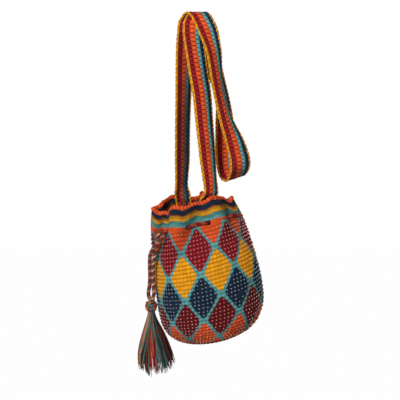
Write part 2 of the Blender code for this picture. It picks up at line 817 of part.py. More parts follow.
def main():
    clear_scene()
    parts = new_collection("mochila_bag")
    cutters = new_collection("cutters")
    held = [
        make_bag_body(parts, cutters),
        make_strap(parts),
        make_seam("strap_seam_back", True, parts),
        make_seam("strap_seam_front", False, parts),
        make_tube("drawstring_neck", neck_route(), CORD_DIAMETER, "turquoise", parts),
    ]
    swinging = [
        make_tail("drawstring_tail_a", EXIT_A, TAIL_A_ROUTE, "turquoise", parts),
        make_tail("drawstring_tail_b", EXIT_B, TAIL_B_ROUTE, "orange", parts),
        make_knot(parts),
        make_skirt(parts),
    ]
    hang_point = add_empty("hang_point", (0.0, 0.0, 0.0), parts)
    pivot = add_empty("tassel_pivot", exit_point(EXIT_B), parts)
    attach(held, hang_point)
    attach(swinging, pivot)


main()
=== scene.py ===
"""Looks of the small crocheted mochila bag: crochet, beads, woven strap, twisted cords and tassel."""

import math

import bpy
import numpy as np
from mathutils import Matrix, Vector


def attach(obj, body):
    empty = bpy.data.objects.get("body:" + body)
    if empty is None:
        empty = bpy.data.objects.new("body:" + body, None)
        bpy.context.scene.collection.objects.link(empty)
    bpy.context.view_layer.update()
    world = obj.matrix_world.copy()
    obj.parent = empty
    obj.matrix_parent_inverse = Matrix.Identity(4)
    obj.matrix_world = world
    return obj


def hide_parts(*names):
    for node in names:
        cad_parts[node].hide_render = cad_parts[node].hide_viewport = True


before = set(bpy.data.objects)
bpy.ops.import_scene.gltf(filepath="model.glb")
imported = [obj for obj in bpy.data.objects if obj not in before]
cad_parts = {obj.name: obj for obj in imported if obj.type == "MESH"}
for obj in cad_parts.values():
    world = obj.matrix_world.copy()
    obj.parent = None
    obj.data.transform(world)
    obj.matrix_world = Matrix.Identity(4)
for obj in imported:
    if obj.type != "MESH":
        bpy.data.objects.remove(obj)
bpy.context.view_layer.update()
rng = np.random.default_rng(7)
MM = 0.001
TURN = 2.0 * math.pi

# Sizes of the object, as in the CAD source, in metres and radians.
BAG_HEIGHT = 0.198
BELLY_HEIGHT = 0.064
BELLY_HALF_WIDTH = 0.0725
MOUTH_HALF_WIDTH = 0.0495
BELLY_FLATNESS = 0.86
MOUTH_FLATNESS = 0.64
NECK_TAPER = 2.2
BASE_ROUNDNESS = 0.78
BASE_DROP = 0.77
BAG_WALL = 0.0035
BAG_LEAN = math.radians(11.5)
BASE_SHIFT = 0.0175
BASE_SHIFT_FADE = 0.030
RIM_CENTRE = np.array((-0.0052, 0.0, -0.2375))
BASE_TILT = 0.07
FOLD_COUNT = 6
FOLD_DEPTH = 0.0050
FOLD_REACH = 0.085
FOLD_PHASE = math.radians(3.0)
CREASE_DEPTH = 0.0012
CREASE_COUNT = 11
CREASE_PHASE = 0.7
RIM_RIPPLE = 0.0012
# How far the rim is raised, in millimetres, at angles from the front in degrees.
RIM_LIFTS = (
    (-180, 1.5), (-150, 5.6), (-115, 6.8), (-88, -0.8), (-60, -3.8),
    (-45, -3.6), (-34, 0.4), (-13, 1.3), (12, 2.9), (30, 3.4),
    (55, 2.4), (84, -7.6), (102, -7.6), (150, -1.0), (180, 1.5),
)
STITCHES_ROUND = 81
ROW_HEIGHT = 0.00515
ROW_TILT = 0.0035
TILT_FADE = 0.030
NECK_DEPTH = 0.0345
DIAMONDS_ROUND = 9
ROWS_PER_DIAMOND_STEP = 6
FIRST_DIAMOND_DEPTH = 0.060
LATTICE_PHASE = math.radians(-2.8)
LATTICE_SLANT = -1.1
BASE_RINGS_FROM = 4.55
CORD_DIAMETER = 0.0050
CORD_CLEARANCE = 0.0012
OUTER_SPAN_HALF = math.radians(12.5)
OUTER_SPANS = 5
CROSSING_SHARPNESS = math.radians(1.8)
CORD_STEP = math.radians(5.0)
EYELET_DEPTH = 0.0285
EXIT_A = math.radians(-57.0)
EXIT_B = math.radians(-43.5)
EXIT_STANDOFF = 0.0055
JOINT_GAP = 0.0003
PEG_DIAMETER = 0.016
STRAP_WIDTH = 0.028
STRAP_THICKNESS = 0.0030
LAYER_GAP = 0.0006
OUTER_CROWN_X = (-0.0100, 0.0120)
INNER_CROWN_X = (0.0080, -0.0030)
CROWN_PARTS = 6
SEWN_DEPTH = 0.023
BACK_SEAT_ANGLE = math.radians(192.0)
FRONT_SEAT_ANGLE = math.radians(28.0)
SEAT_CLEARANCE = 0.0009
KNOT_DIAMETER = 0.0166
KNOT_CENTRE = np.array((-0.0606, -0.0185, -0.3784))
SKIRT_LENGTH = 0.080
SKIRT_TOP_RADIUS = 0.0070
SKIRT_BOTTOM_RADIUS = 0.0245
SKIRT_LEAN = np.array((0.0058, -0.0050, 0.0))
SKIRT_FLARE = 1.35
# Sizes that the looks set for themselves.
DIAMOND_WIDTH = 0.79
DIAMOND_HEIGHT = 0.90
DIAMOND_BULGE = 1.14
TAIL_DIAMETER = 0.0056
SKIRT_DRAWN_IN = 0.0022
# The strap's three hanging strands: x, y and z in millimetres, turn and tilt in degrees.
BACK_STRAND = (
    (-18.6, 24.4, -223, 38, 0), (-18.4, 24.8, -208, 44, 0), (-18.2, 24.9, -194, 44, 0),
    (-18.0, 24.4, -168, 45, 0), (-17.6, 23.5, -137, 44, 0), (-16.6, 22.0, -103, 42, 0),
    (-15.6, 20.0, -68, 36, 0), (-13.6, 17.5, -33, 20, 0), (-11.5, 14.6, -14, 5, 0),
)
LOOP_STRAND = (
    (15.6, -15.0, -9, 12, 0), (19.6, -17.4, -22, 32, 0), (23.8, -19.0, -38, 44, 0),
    (29.0, -20.0, -73, 58, 0), (34.0, -20.0, -98, 58, 0), (41.4, -19.5, -125, 50, 0),
    (50.4, -18.5, -149, 28, 2), (55.8, -17.0, -167, 10, 4), (58.8, -15.0, -181, 2, 8),
    (58.6, -10.0, -195, 0, 14), (53.4, -1.0, -205, 0, 19), (46.0, 6.5, -203, 0, 17),
    (41.8, 11.0, -192, 0, 10), (40.0, 13.5, -170, 4, 3), (39.2, 15.0, -138, 22, 0),
    (36.6, 16.0, -104, 46, 0), (27.0, 15.0, -68, 40, 0), (15.0, 12.6, -33, 16, 0),
    (10.2, 10.8, -14, 2, 0),
)
FRONT_STRAND = (
    (-3.2, -10.8, -14, 4, 0), (-0.8, -13.4, -33, 16, 0), (3.8, -15.6, -62, 21, 0),
    (9.0, -18.0, -93, 27, 0), (12.4, -20.5, -129, 33, 0), (15.8, -23.0, -163, 38, 0),
    (18.6, -23.4, -196, 42, 0), (19.6, -23.8, -221, 34, 0),
)
# The drawstring's two tails, in millimetres.
TAIL_A_ROUTE = (
    (-51.8, -31.0, -290), (-55.4, -29.8, -308), (-57.4, -27.4, -324), (-57.6, -25.0, -342),
    (-57.0, -23.8, -360),
)
TAIL_B_ROUTE = (
    (-47.6, -38.5, -284), (-56.0, -36.0, -294), (-61.0, -28.3, -305), (-62.2, -22.0, -320),
    (-62.2, -17.6, -338), (-63.2, -15.4, -352), (-64.6, -15.0, -362),
)

COLOURS = {name: np.array(value) for name, value in {
    "orange": (0.72, 0.088, 0.020), "maroon": (0.25, 0.010, 0.016),
    "wine": (0.130, 0.006, 0.008), "yellow": (0.84, 0.34, 0.008),
    "gold": (0.80, 0.30, 0.010), "straw": (0.52, 0.24, 0.020),
    "navy": (0.010, 0.022, 0.046), "turquoise": (0.098, 0.33, 0.325),
    "sea": (0.070, 0.235, 0.205), "teal": (0.020, 0.085, 0.10),
    "green": (0.025, 0.075, 0.055), "sage": (0.125, 0.165, 0.115),
    "mint": (0.20, 0.30, 0.22), "cream": (0.62, 0.40, 0.24),
    "brown": (0.16, 0.045, 0.025), "rust": (0.29, 0.052, 0.022),
    "salmon": (0.50, 0.17, 0.12), "grey": (0.16, 0.17, 0.19),
    "pink": (0.60, 0.27, 0.23), "ice": (0.28, 0.35, 0.44),
    "coral": (0.74, 0.24, 0.11), "amber": (0.84, 0.46, 0.08),
}.items()}


def new_object(name, data):
    item = bpy.data.objects.new(name, data)
    bpy.context.scene.collection.objects.link(item)
    return item


# Camera and light.
def add_camera():
    data = bpy.data.cameras.new("camera")
    data.lens = 100.0
    data.sensor_width = 36.0
    data.clip_end = 40.0
    camera = new_object("camera", data)
    tilt = math.radians(10.0)
    target = Vector((0.0054, 0.0, -0.2358))
    back = Vector((0.0, -math.cos(tilt), math.sin(tilt)))
    camera.location = target + 1.5 * back
    camera.rotation_euler = (math.radians(90.0) - tilt, 0.0, 0.0)
    bpy.context.scene.camera = camera


def add_lamp(name, place, power, size):
    data = bpy.data.lights.new(name, "AREA")
    data.shape = "DISK"
    data.size = size
    data.energy = power
    lamp = new_object(name, data)
    lamp.location = place
    toward = Vector((0.01, 0.0, -0.28)) - Vector(place)
    lamp.rotation_euler = toward.to_track_quat("-Z", "Y").to_euler()


# Nodes.
def fill(tree, node, inputs):
    """Give a node's sockets numbers, colours or other nodes' outputs, and return its first output."""
    for place, value in inputs.items():
        if isinstance(value, bpy.types.NodeSocket):
            tree.links.new(value, node.inputs[place])
        else:
            node.inputs[place].default_value = value
    return node.outputs[0]


def add_node(tree, kind, inputs):
    return fill(tree, tree.nodes.new(f"ShaderNode{kind}"), inputs)


def maths(tree, operation, *values):
    node = tree.nodes.new("ShaderNodeMath")
    node.operation = operation
    return fill(tree, node, dict(enumerate(values)))


def camera_share(tree):
    """1 for what the camera, a gloss or a clear thing shows, else 0."""
    path = tree.nodes.new("ShaderNodeLightPath").outputs
    seen = maths(tree, "MAXIMUM", path["Is Camera Ray"], path["Is Glossy Ray"])
    return maths(tree, "MAXIMUM", seen, path["Is Transmission Ray"])


def add_world():
    world = bpy.data.worlds.new("studio")
    bpy.context.scene.world = world
    world.use_nodes = True
    tree = world.node_tree
    tree.nodes.clear()
    light = add_node(tree, "Background", {"Color": (1.0, 0.985, 0.97, 1.0), "Strength": 0.30})
    white = add_node(tree, "Background", {"Color": (1.0, 1.0, 1.0, 1.0), "Strength": 1.0})
    mix = add_node(tree, "MixShader", {0: camera_share(tree), 1: light, 2: white})
    tree.links.new(mix, tree.nodes.new("ShaderNodeOutputWorld").inputs[0])


def add_floor():
    mesh = bpy.data.meshes.new("floor")
    side, low = 7.0, -1.85
    corners = [(-side, -side, low), (side, -side, low), (side, side, low), (-side, side, low)]
    mesh.from_pydata(corners, [], [(0, 1, 2, 3)])
    material, tree, shader = new_material("floor_paint", {"Roughness": 0.9})
    shader.inputs["Base Color"].default_value = (0.82, 0.82, 0.81, 1.0)
    white = add_node(tree, "Emission", {"Strength": 1.0})
    share = maths(tree, "MULTIPLY", camera_share(tree), 0.985)
    mix = add_node(tree, "MixShader", {0: share, 1: shader.outputs[0], 2: white})
    tree.links.new(mix, tree.nodes["Material Output"].inputs[0])
    mesh.materials.append(material)
    new_object("floor", mesh)


# Materials.
def new_material(name, numbers):
    material = bpy.data.materials.new(name)
    material.use_nodes = True
    shader = material.node_tree.nodes["Principled BSDF"]
    fill(material.node_tree, shader, numbers)
    return material, material.node_tree, shader


def noise(tree, place, scale, detail):
    return add_node(tree, "TexNoise", {"Vector": place, "Scale": scale, "Detail": detail})


def toned_paint(tree, shader, value, limits, tones):
    """The painted colour, from the first tone to the second as a value goes between its limits."""
    paint = tree.nodes.new("ShaderNodeVertexColor")
    paint.layer_name = "yarn"
    tone = add_node(tree, "MapRange", {"Value": value, "From Min": limits[0], "From Max": limits[1],
                                       "To Min": tones[0], "To Max": tones[1]})
    colour = tree.nodes.new("ShaderNodeVectorMath")
    colour.operation = "SCALE"
    fill(tree, colour, {0: paint.outputs["Color"], "Scale": tone})
    fill(tree, shader, {"Base Color": colour.outputs[0]})


YARN_DEPTH = 0.28
FUZZ_SCALE = 1500.0
BUMP_DISTANCE = 0.0004


def yarn_material(name, fibre, stitched=False):
    """Yarn: the painted colour with streaks along the fibres, fuzz, and raised fibres.

    fibre holds how many streaks there are for each unit of the piece's run, along and across it.
    """
    material, tree, shader = new_material(name, {"Roughness": 0.92, "Sheen Weight": 0.04,
                                                 "Sheen Roughness": 0.5, "Specular IOR Level": 0.12})
    layer = tree.nodes.new("ShaderNodeUVMap")
    layer.uv_map = "run"
    run = layer.outputs[0]
    mapped = add_node(tree, "Mapping", {"Vector": run, "Scale": (*fibre, 1.0)})
    place = tree.nodes.new("ShaderNodeTexCoord").outputs["Object"]
    both = maths(tree, "ADD", noise(tree, mapped, 1.0, 2.0), noise(tree, place, FUZZ_SCALE, 3.0))
    toned_paint(tree, shader, both, (0.6, 1.4), (1.0 - YARN_DEPTH, 1.0 + YARN_DEPTH))
    height = stitch_height(tree, run, both) if stitched else both
    bump = add_node(tree, "Bump", {"Strength": 0.5, "Distance": BUMP_DISTANCE, "Height": height})
    fill(tree, shader, {"Normal": bump})
    return material


def stitch_height(tree, run, height):
    """Adds the two slanted plies of each crochet stitch, whose run is counted in stitches and rows."""
    split = tree.nodes.new("ShaderNodeSeparateXYZ")
    fill(tree, split, {0: run})
    value = maths(tree, "SUBTRACT", maths(tree, "FRACT", split.outputs[0]), 0.5)
    value = maths(tree, "MULTIPLY", maths(tree, "ABSOLUTE", value), 1.4)
    slant = maths(tree, "SUBTRACT", value, split.outputs[1])
    sine = maths(tree, "SINE", maths(tree, "MULTIPLY", slant, 2.0 * TURN))
    return maths(tree, "MULTIPLY_ADD", sine, 0.6, height)


def bead_material():
    material, tree, shader = new_material("bead_glass", {"Roughness": 0.28, "Coat Weight": 0.3})
    place = tree.nodes.new("ShaderNodeTexCoord").outputs["Object"]
    toned_paint(tree, shader, noise(tree, place, 420.0, 2.0), (0.3, 0.7), (0.8, 1.15))
    return material


# Meshes as arrays: points, quads, triangles, a colour for each face, a shade for each point, a run.
def sleeve(rings, face_colours, shades, u, v, joined=False):
    """A skin over rings of points. joined runs the last ring into the first, else the ends are filled.

    u holds the run at each place round a ring and once more at its end, v the run at each ring.
    """
    count, around = rings.shape[:2]
    row = np.arange(count if joined else count - 1)
    place = np.arange(around)
    after = (place + 1) % around
    low = row[:, None] * around
    high = ((row + 1) % count)[:, None] * around
    quads = np.stack((low + place, low + after, high + after, high + place), axis=-1).reshape(-1, 4)
    u = np.broadcast_to(u, (len(v), around + 1)) if np.ndim(u) == 1 else u
    corners = []
    for rise, side in ((0, 0), (0, 1), (1, 1), (1, 0)):
        across = u[row + rise][:, side:side + around]
        along = np.broadcast_to(v[row + rise][:, None], across.shape)
        corners.append(np.stack((across, along), axis=-1))
    runs = np.stack(corners, axis=2).reshape(-1, 4, 2)
    points = rings.reshape(-1, 3)
    shades = np.broadcast_to(shades, (count, around)).reshape(-1)
    colours = np.broadcast_to(face_colours, (len(row), around, 3)).reshape(-1, 3)
    triangles = np.zeros((0, 3), int)
    triangle_colours = np.zeros((0, 3))
    if not joined:
        centres = np.array((rings[0].mean(axis=0), rings[-1].mean(axis=0)))
        points = np.concatenate((points, centres))
        shades = np.concatenate((shades, (shades[0], shades[-1])))
        first = np.stack((after, place, np.full(around, count * around)), axis=-1)
        start = (count - 1) * around
        last = np.stack((start + place, start + after, np.full(around, count * around + 1)), axis=-1)
        triangles = np.concatenate((first, last))
        triangle_colours = np.concatenate((colours[:around], colours[-around:]))
    return points, quads, triangles, colours, triangle_colours, shades, runs


def build(name, parts, material, body):
    """One piece of the object out of parts."""
    starts = np.cumsum([0] + [len(part[0]) for part in parts[:-1]])
    points, quad_colours, triangle_colours, shades, runs = (
        np.concatenate([part[index] for part in parts]) for index in (0, 3, 4, 5, 6))
    quads, triangles = (np.concatenate([part[index] + start for part, start in zip(parts, starts)])
                        for index in (1, 2))
    a, b, c, d = (points[quads[:, index]] for index in range(4))
    volume = (a * np.cross(b, c)).sum() + (a * np.cross(c, d)).sum()
    mesh = bpy.data.meshes.new(name)
    mesh.from_pydata(points.tolist(), [], quads.tolist() + triangles.tolist())
    corners = np.concatenate((quads.ravel(), triangles.ravel()))
    colours = np.concatenate((np.repeat(quad_colours, 4, axis=0),
                              np.repeat(triangle_colours, 3, axis=0)))
    values = np.ones((len(corners), 4), np.float32)
    values[:, :3] = colours * shades[corners][:, None]
    paint = mesh.color_attributes.new("yarn", "FLOAT_COLOR", "CORNER")
    paint.data.foreach_set("color", values.ravel())
    layer = mesh.uv_layers.new(name="run")
    places = np.zeros((len(corners), 2), np.float32)
    places[:len(quads) * 4] = runs.reshape(-1, 2)
    layer.data.foreach_set("uv", places.ravel())
    if volume < 0.0:
        mesh.flip_normals()
    mesh.shade_smooth()
    mesh.materials.append(material)
    piece = new_object(name, mesh)
    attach(piece, body)
    return piece


# Routes and cords.
def smooth_route(points, step):
    """Even steps along a smooth curve through points of any dimension, measured in its first three."""
    points = np.asarray(points, float)
    ends = np.concatenate((2.0 * points[:1] - points[1:2], points, 2.0 * points[-1:] - points[-2:-1]))
    parts = np.arange(24) / 24
    dense = []
    for index in range(1, len(ends) - 2):
        before, start, stop, after = ends[index - 1:index + 3]
        t = parts[:, None]
        dense.append(0.5 * (2.0 * start + (stop - before) * t
                            + (2.0 * before - 5.0 * start + 4.0 * stop - after) * t ** 2
                            + (3.0 * start - before - 3.0 * stop + after) * t ** 3))
    dense = np.concatenate(dense + [points[-1:]])
    return resample(dense, step)


def lengths_along(points):
    """How far along a route each of its points lies."""
    return np.concatenate(((0.0,), np.cumsum(np.linalg.norm(np.diff(points, axis=0), axis=1))))


def resample(dense, step):
    lengths = lengths_along(dense[:, :3])
    count = max(2, round(lengths[-1] / step))
    wanted = np.linspace(0.0, lengths[-1], count + 1)
    return np.stack([np.interp(wanted, lengths, values) for values in dense.T], axis=1)


def unit(vectors):
    return vectors / np.linalg.norm(vectors, axis=-1, keepdims=True)


def untwisted(route):
    """Two directions across a route at each of its points, which turn as little as they can."""
    along = unit(np.gradient(route, axis=0))
    side = np.cross(along[0], (0.3, 0.9, 0.2))
    sides = []
    for direction in along:
        side = side - direction * side.dot(direction)
        side = side / np.linalg.norm(side)
        sides.append(side)
    sides = np.array(sides)
    return sides, np.cross(along, sides)


def round_rings(middles, size, turn, first, second):
    """Rings of points round a middle line, each in the plane of its two directions."""
    out = np.cos(turn)[:, None] * first[:, None, :] + np.sin(turn)[:, None] * second[:, None, :]
    return middles[:, None, :] + size[..., None] * out


def twisted(route, radius, plies, pitch, colours, around=20, groove=0.3, ends=(0.6, 0.6), phase=0.0,
            tone=1.0):
    """A cord laid up from plies, each of its own colour, with its ends drawn in."""
    sides, others = untwisted(route)
    length = lengths_along(route)
    turn = np.arange(around) * TURN / around
    lay = turn - (TURN * length / pitch + phase)[:, None]
    lobe = np.abs(np.cos(0.5 * plies * lay))
    size = radius * (1.0 - groove * (1.0 - lobe ** 0.8))
    taper = np.ones(len(route))
    taper[:2] = ends[0], 0.5 + 0.5 * ends[0]
    taper[-2:] = 0.5 + 0.5 * ends[1], ends[1]
    rings = round_rings(route, size * taper[:, None], turn, sides, others)
    middle = lay[:-1] + math.pi / around
    ply = np.round(middle * plies / TURN).astype(int) % plies
    palette = np.array([COLOURS[name] for name in colours.split()])
    tint = palette[ply % len(palette)] * tone
    # Painted shade: each cord is darker in the grooves between its plies.
    shades = 0.42 + 0.66 * lobe ** 0.8
    u = np.concatenate((turn, (TURN,))) * radius
    u = u - (length * TURN * radius / pitch)[:, None]
    return sleeve(rings, tint, shades, u, length)


# The bag's form.
def smoothstep(value):
    value = np.clip(value, 0.0, 1.0)
    return value * value * (3.0 - 2.0 * value)


def bag_outline():
    rise = 1.0 - np.arange(160) / 160
    upper = BELLY_HALF_WIDTH - (BELLY_HALF_WIDTH - MOUTH_HALF_WIDTH) * rise ** NECK_TAPER
    turn = 0.5 * math.pi * np.arange(241) / 240
    lower = BELLY_HALF_WIDTH * np.clip(np.cos(turn), 0.0, 1.0) ** BASE_ROUNDNESS
    lower[-1] = 0.0
    heights = np.concatenate((BELLY_HEIGHT + (BAG_HEIGHT - BELLY_HEIGHT) * rise,
                              BELLY_HEIGHT * (1.0 - np.sin(turn) ** BASE_DROP)))
    return np.concatenate((upper, lower)), heights


HALVES, HEIGHTS = bag_outline()
DEPTHS = np.concatenate(((0.0,), np.cumsum(np.hypot(np.diff(HALVES), np.diff(HEIGHTS)))))
BASE_DEPTH = DEPTHS[-1]
ACROSS = -np.diff(HEIGHTS) / np.diff(DEPTHS)
ALONG = np.diff(HALVES) / np.diff(DEPTHS)
MIDDLES = 0.5 * (DEPTHS[1:] + DEPTHS[:-1])


def part_at(starts, values):
    """Which part each value lies in, of the parts that begin at starts."""
    return np.clip(np.searchsorted(starts, values, side="right") - 1, 0, len(starts) - 1)


def fold(angle, depth):
    fade = 1.0 - smoothstep(depth / FOLD_REACH)
    wave = -FOLD_DEPTH * np.cos(FOLD_COUNT * (angle - FOLD_PHASE))
    crease = CREASE_DEPTH * np.sin(CREASE_COUNT * angle + CREASE_PHASE) * fade
    return fade * (wave + crease)


def rim_lift(angle):
    angles, lifts = np.array(RIM_LIFTS, float).T
    place = np.mod(np.degrees(angle) + 180.0, 360.0) - 180.0
    index = np.searchsorted(angles, place, side="right") - 1
    share = smoothstep((place - angles[index]) / (angles[index + 1] - angles[index]))
    return MM * (lifts[index] + (lifts[index + 1] - lifts[index]) * share)


def tilted(angle, depth):
    """Where a row really lies: under the neck the rows climb towards the viewer's right."""
    under_neck = smoothstep((depth - NECK_DEPTH) / TILT_FADE)
    over_base = smoothstep((BASE_DEPTH - depth) / TILT_FADE)
    return depth - ROW_TILT * under_neck * over_base * np.sin(angle)


def bag_point(angle, depth, offset):
    """Points of the bag: angle from the front, depth under the rim, offset out of the wall."""
    depth = np.clip(tilted(angle, depth), 0.0, BASE_DEPTH)
    angle, depth, offset = np.broadcast_arrays(angle, depth, offset)
    half = np.interp(depth, DEPTHS, HALVES)
    height = np.interp(depth, DEPTHS, HEIGHTS)
    across = np.interp(depth, MIDDLES, ACROSS)
    along = np.interp(depth, MIDDLES, ALONG)
    rise = (height - BELLY_HEIGHT) / (BAG_HEIGHT - BELLY_HEIGHT)
    flat = BELLY_FLATNESS + (MOUTH_FLATNESS - BELLY_FLATNESS) * smoothstep(rise)
    normal_x, normal_y = flat * np.sin(angle), -np.cos(angle)
    size = np.hypot(normal_x, normal_y)
    push = offset + fold(angle, depth)
    fade = 1.0 - smoothstep(depth / FOLD_REACH)
    x = half * np.sin(angle) + push * across * normal_x / size
    y = -flat * half * np.cos(angle) + push * across * normal_y / size
    rise = height - BAG_HEIGHT + push * along
    rise = rise + RIM_RIPPLE * fade ** 2 * np.cos(2.0 * FOLD_COUNT * (angle - FOLD_PHASE))
    rise = rise + rim_lift(angle) * fade ** 2
    rise = rise - BASE_TILT * x * smoothstep(1.0 - height / BELLY_HEIGHT)
    shift = BASE_SHIFT * (math.exp(-BAG_HEIGHT / BASE_SHIFT_FADE) - np.exp(-height / BASE_SHIFT_FADE))
    lean, level = math.sin(BAG_LEAN), math.cos(BAG_LEAN)
    return RIM_CENTRE + np.stack((x * level - rise * lean + shift, y, x * lean + rise * level), axis=-1)


# Courses of crochet in the neck: where each starts, and its colour. The last is the lattice's first.
NECK_COURSES = (
    (0.0000, "orange"),
    (0.0035, "navy"),
    (0.0070, "navy"),
    (0.0105, "rust"),
    (0.0120, "straw"),
    (0.0152, "yellow"),
    (0.0185, "sea"),
    (0.0225, "turquoise"),
    (0.0265, "orange"),
    (0.0305, None),
)
DIAMOND_COLOURS = {-1: "orange", 0: "maroon", 1: "yellow", 2: "navy", 3: "wine", 4: "orange"}
# The beads' colour in each row of diamonds, and the share of its stitches that hold one.
BEADS = {-1: ("coral", 0.25), 0: ("pink", 0.94), 1: ("amber", 0.40),
         2: ("ice", 0.94), 3: ("pink", 0.94), 4: ("coral", 0.80)}
BASE_COLOURS = ("wine", "orange", "navy", "turquoise")
INSIDE_COLOURS = ("navy", "green", "maroon", "brown", "orange")
COLUMNS = 405
BEADS_END = FIRST_DIAMOND_DEPTH + BASE_RINGS_FROM * ROWS_PER_DIAMOND_STEP * ROW_HEIGHT
COURSE_SAMPLES = 4
COARSE_SAMPLES = 2
THIN_COURSE = 0.002
INNER_STEP = 16
EYELET_WIDTH = 0.0092
EXIT_EYELET_WIDTH = 0.0064
EYELET_HALF_HEIGHT = 0.0031
NECK_RELIEF = 0.0009
STITCH_RELIEF = 0.0011
INNER_RELIEF = 0.0004
RIM_LUMPS = 70
RIM_DEPTH = 0.0014
RIM_INWARD = 0.0012
YARN_LAY = 0.006
RIM_RADIUS = 0.0022
RIM_LUMP_HEIGHT = 0.0008
BEAD_RADII = (0.00098, 0.00105, 0.00104)


def courses():
    """Start, stop, colour or None, and stitches round of each course, from the rim to the base."""
    found = [(start, colour, STITCHES_ROUND) for start, colour in NECK_COURSES]
    start = NECK_DEPTH
    while start + 1.6 * ROW_HEIGHT < BASE_DEPTH:
        share = np.interp(start + 0.5 * ROW_HEIGHT, DEPTHS, HALVES) / BELLY_HALF_WIDTH
        count = STITCHES_ROUND if start < BEADS_END else max(8, round(STITCHES_ROUND * share))
        found.append((start, None, count))
        start += ROW_HEIGHT
    stops = [row[0] for row in found[1:]] + [start]
    return [(row[0], stop, *row[1:]) for row, stop in zip(found, stops)]


def course_rings(rows):
    """Depth of each ring of points, its course, and how far down that course it lies, from 0 to 1."""
    rings = []
    for index, (start, stop, _, _) in enumerate(rows):
        few = stop - start < THIN_COURSE or start > BEADS_END
        samples = COARSE_SAMPLES if few else COURSE_SAMPLES
        rings += [(start + (stop - start) * part / samples, index, part / samples)
                  for part in range(samples)]
    end = rows[-1][1]
    rings += [(depth, len(rows) - 1, 1.0) for depth in (end, 0.5 * (end + BASE_DEPTH))]
    depths, course_of, within = np.array(rings).T
    return depths, course_of.astype(int), within


def lattice_turn(depth):
    return LATTICE_PHASE + LATTICE_SLANT * (depth - FIRST_DIAMOND_DEPTH)


def diamonds(angle, depth):
    """Row and closeness to its edge (0 in the middle, 1 at its tips) of the diamond at each angle."""
    across = (angle - lattice_turn(depth)) * DIAMONDS_ROUND / TURN
    down = (depth - FIRST_DIAMOND_DEPTH) / (ROWS_PER_DIAMOND_STEP * ROW_HEIGHT)
    upper = math.floor(down)
    edges = []
    for row in (upper, upper + 1):
        shifted = across - 0.5 * (row % 2)
        across_share = 2.0 * np.abs(shifted - np.round(shifted)) / DIAMOND_WIDTH
        down_share = abs(down - row) / DIAMOND_HEIGHT
        edges.append(across_share ** DIAMOND_BULGE + down_share ** DIAMOND_BULGE)
    return np.where(edges[0] <= edges[1], upper, upper + 1), np.minimum(*edges)


def lattice_colours(angle, depth):
    """Colour of the lattice at each angle of a course."""
    rows, edges = diamonds(angle, depth)
    down = (depth - FIRST_DIAMOND_DEPTH) / (ROWS_PER_DIAMOND_STEP * ROW_HEIGHT)
    if down > BASE_RINGS_FROM:
        ring = int((down - BASE_RINGS_FROM) * ROWS_PER_DIAMOND_STEP / 2)
        return np.tile(COLOURS[BASE_COLOURS[ring % len(BASE_COLOURS)]], (len(angle), 1))
    names = ["turquoise" if edge > 1.0 else DIAMOND_COLOURS.get(int(row), "orange")
             for row, edge in zip(rows, edges)]
    return np.array([COLOURS[name] for name in names])


def neck_colours(angle, depth):
    """Colour of the neck at each angle, where the stretched yarn of a course wanders up and down."""
    starts = np.array([start for start, _ in NECK_COURSES])
    wander = 0.0008 * np.sin(7.0 * angle + 1.0) + 0.0006 * np.sin(13.0 * angle + 2.2)
    wander = wander + 0.0004 * np.sin(29.0 * angle)
    left = smoothstep((-angle - math.radians(34.0)) / math.radians(8.0))
    left = left * smoothstep((angle + math.radians(110.0)) / math.radians(20.0))
    wander = wander + 0.16 * depth * left
    palette = np.array([COLOURS[colour or "orange"] for _, colour in NECK_COURSES])
    streaks = np.interp(angle, np.linspace(-math.pi, math.pi, 49), rng.uniform(0.60, 1.18, 49))
    return palette[part_at(starts, depth + wander)] * streaks[:, None]


def painted_wall_shade(angle, depth):
    """How bright the wall is painted: painted shade darkens the folds' valleys and the base's edge."""
    fade = np.clip(1.0 - (depth / 0.070) ** 3, 0.0, 1.0)
    slip = 11.0 * (depth - 0.008)
    valley = np.clip(np.cos(FOLD_COUNT * (angle - FOLD_PHASE + slip)), 0.0, 1.0) ** 2
    front = np.exp(-((angle - 0.12) / 0.34) ** 2)
    base = smoothstep((depth - 0.160) / 0.026) * (1.0 - 0.75 * front)
    return (1.0 - 0.56 * valley * fade) * (1.0 - 0.45 * base)


def eyelets():
    found = [(EXIT_A, EXIT_EYELET_WIDTH), (EXIT_B, EXIT_EYELET_WIDTH)]
    for index in range(OUTER_SPANS):
        middle = FOLD_PHASE + index * TURN / FOLD_COUNT
        found += [(middle - OUTER_SPAN_HALF, EYELET_WIDTH), (middle + OUTER_SPAN_HALF, EYELET_WIDTH)]
    return found


def wall_relief(angle, depths, within, stitches):
    """How high the yarn stands, 0 to 1: two strands a course in the neck, leaning stitches below it."""
    turn = lattice_turn(depths)[:, None]
    along = (angle - turn) * stitches[:, None] / TURN + 0.5
    phase = np.mod(along + 0.30 * (within[:, None] - 0.5), 1.0)
    edge = np.abs(2.0 * phase - 1.0) ** 2.2
    lump = np.sin(math.pi * within)[:, None] ** 0.6 * (1.0 - 0.62 * edge)
    strands = (0.35 + 0.65 * np.abs(np.sin(TURN * within)))[:, None] * (1.0 - 0.30 * edge)
    return np.where((depths < NECK_DEPTH)[:, None], strands, lump)


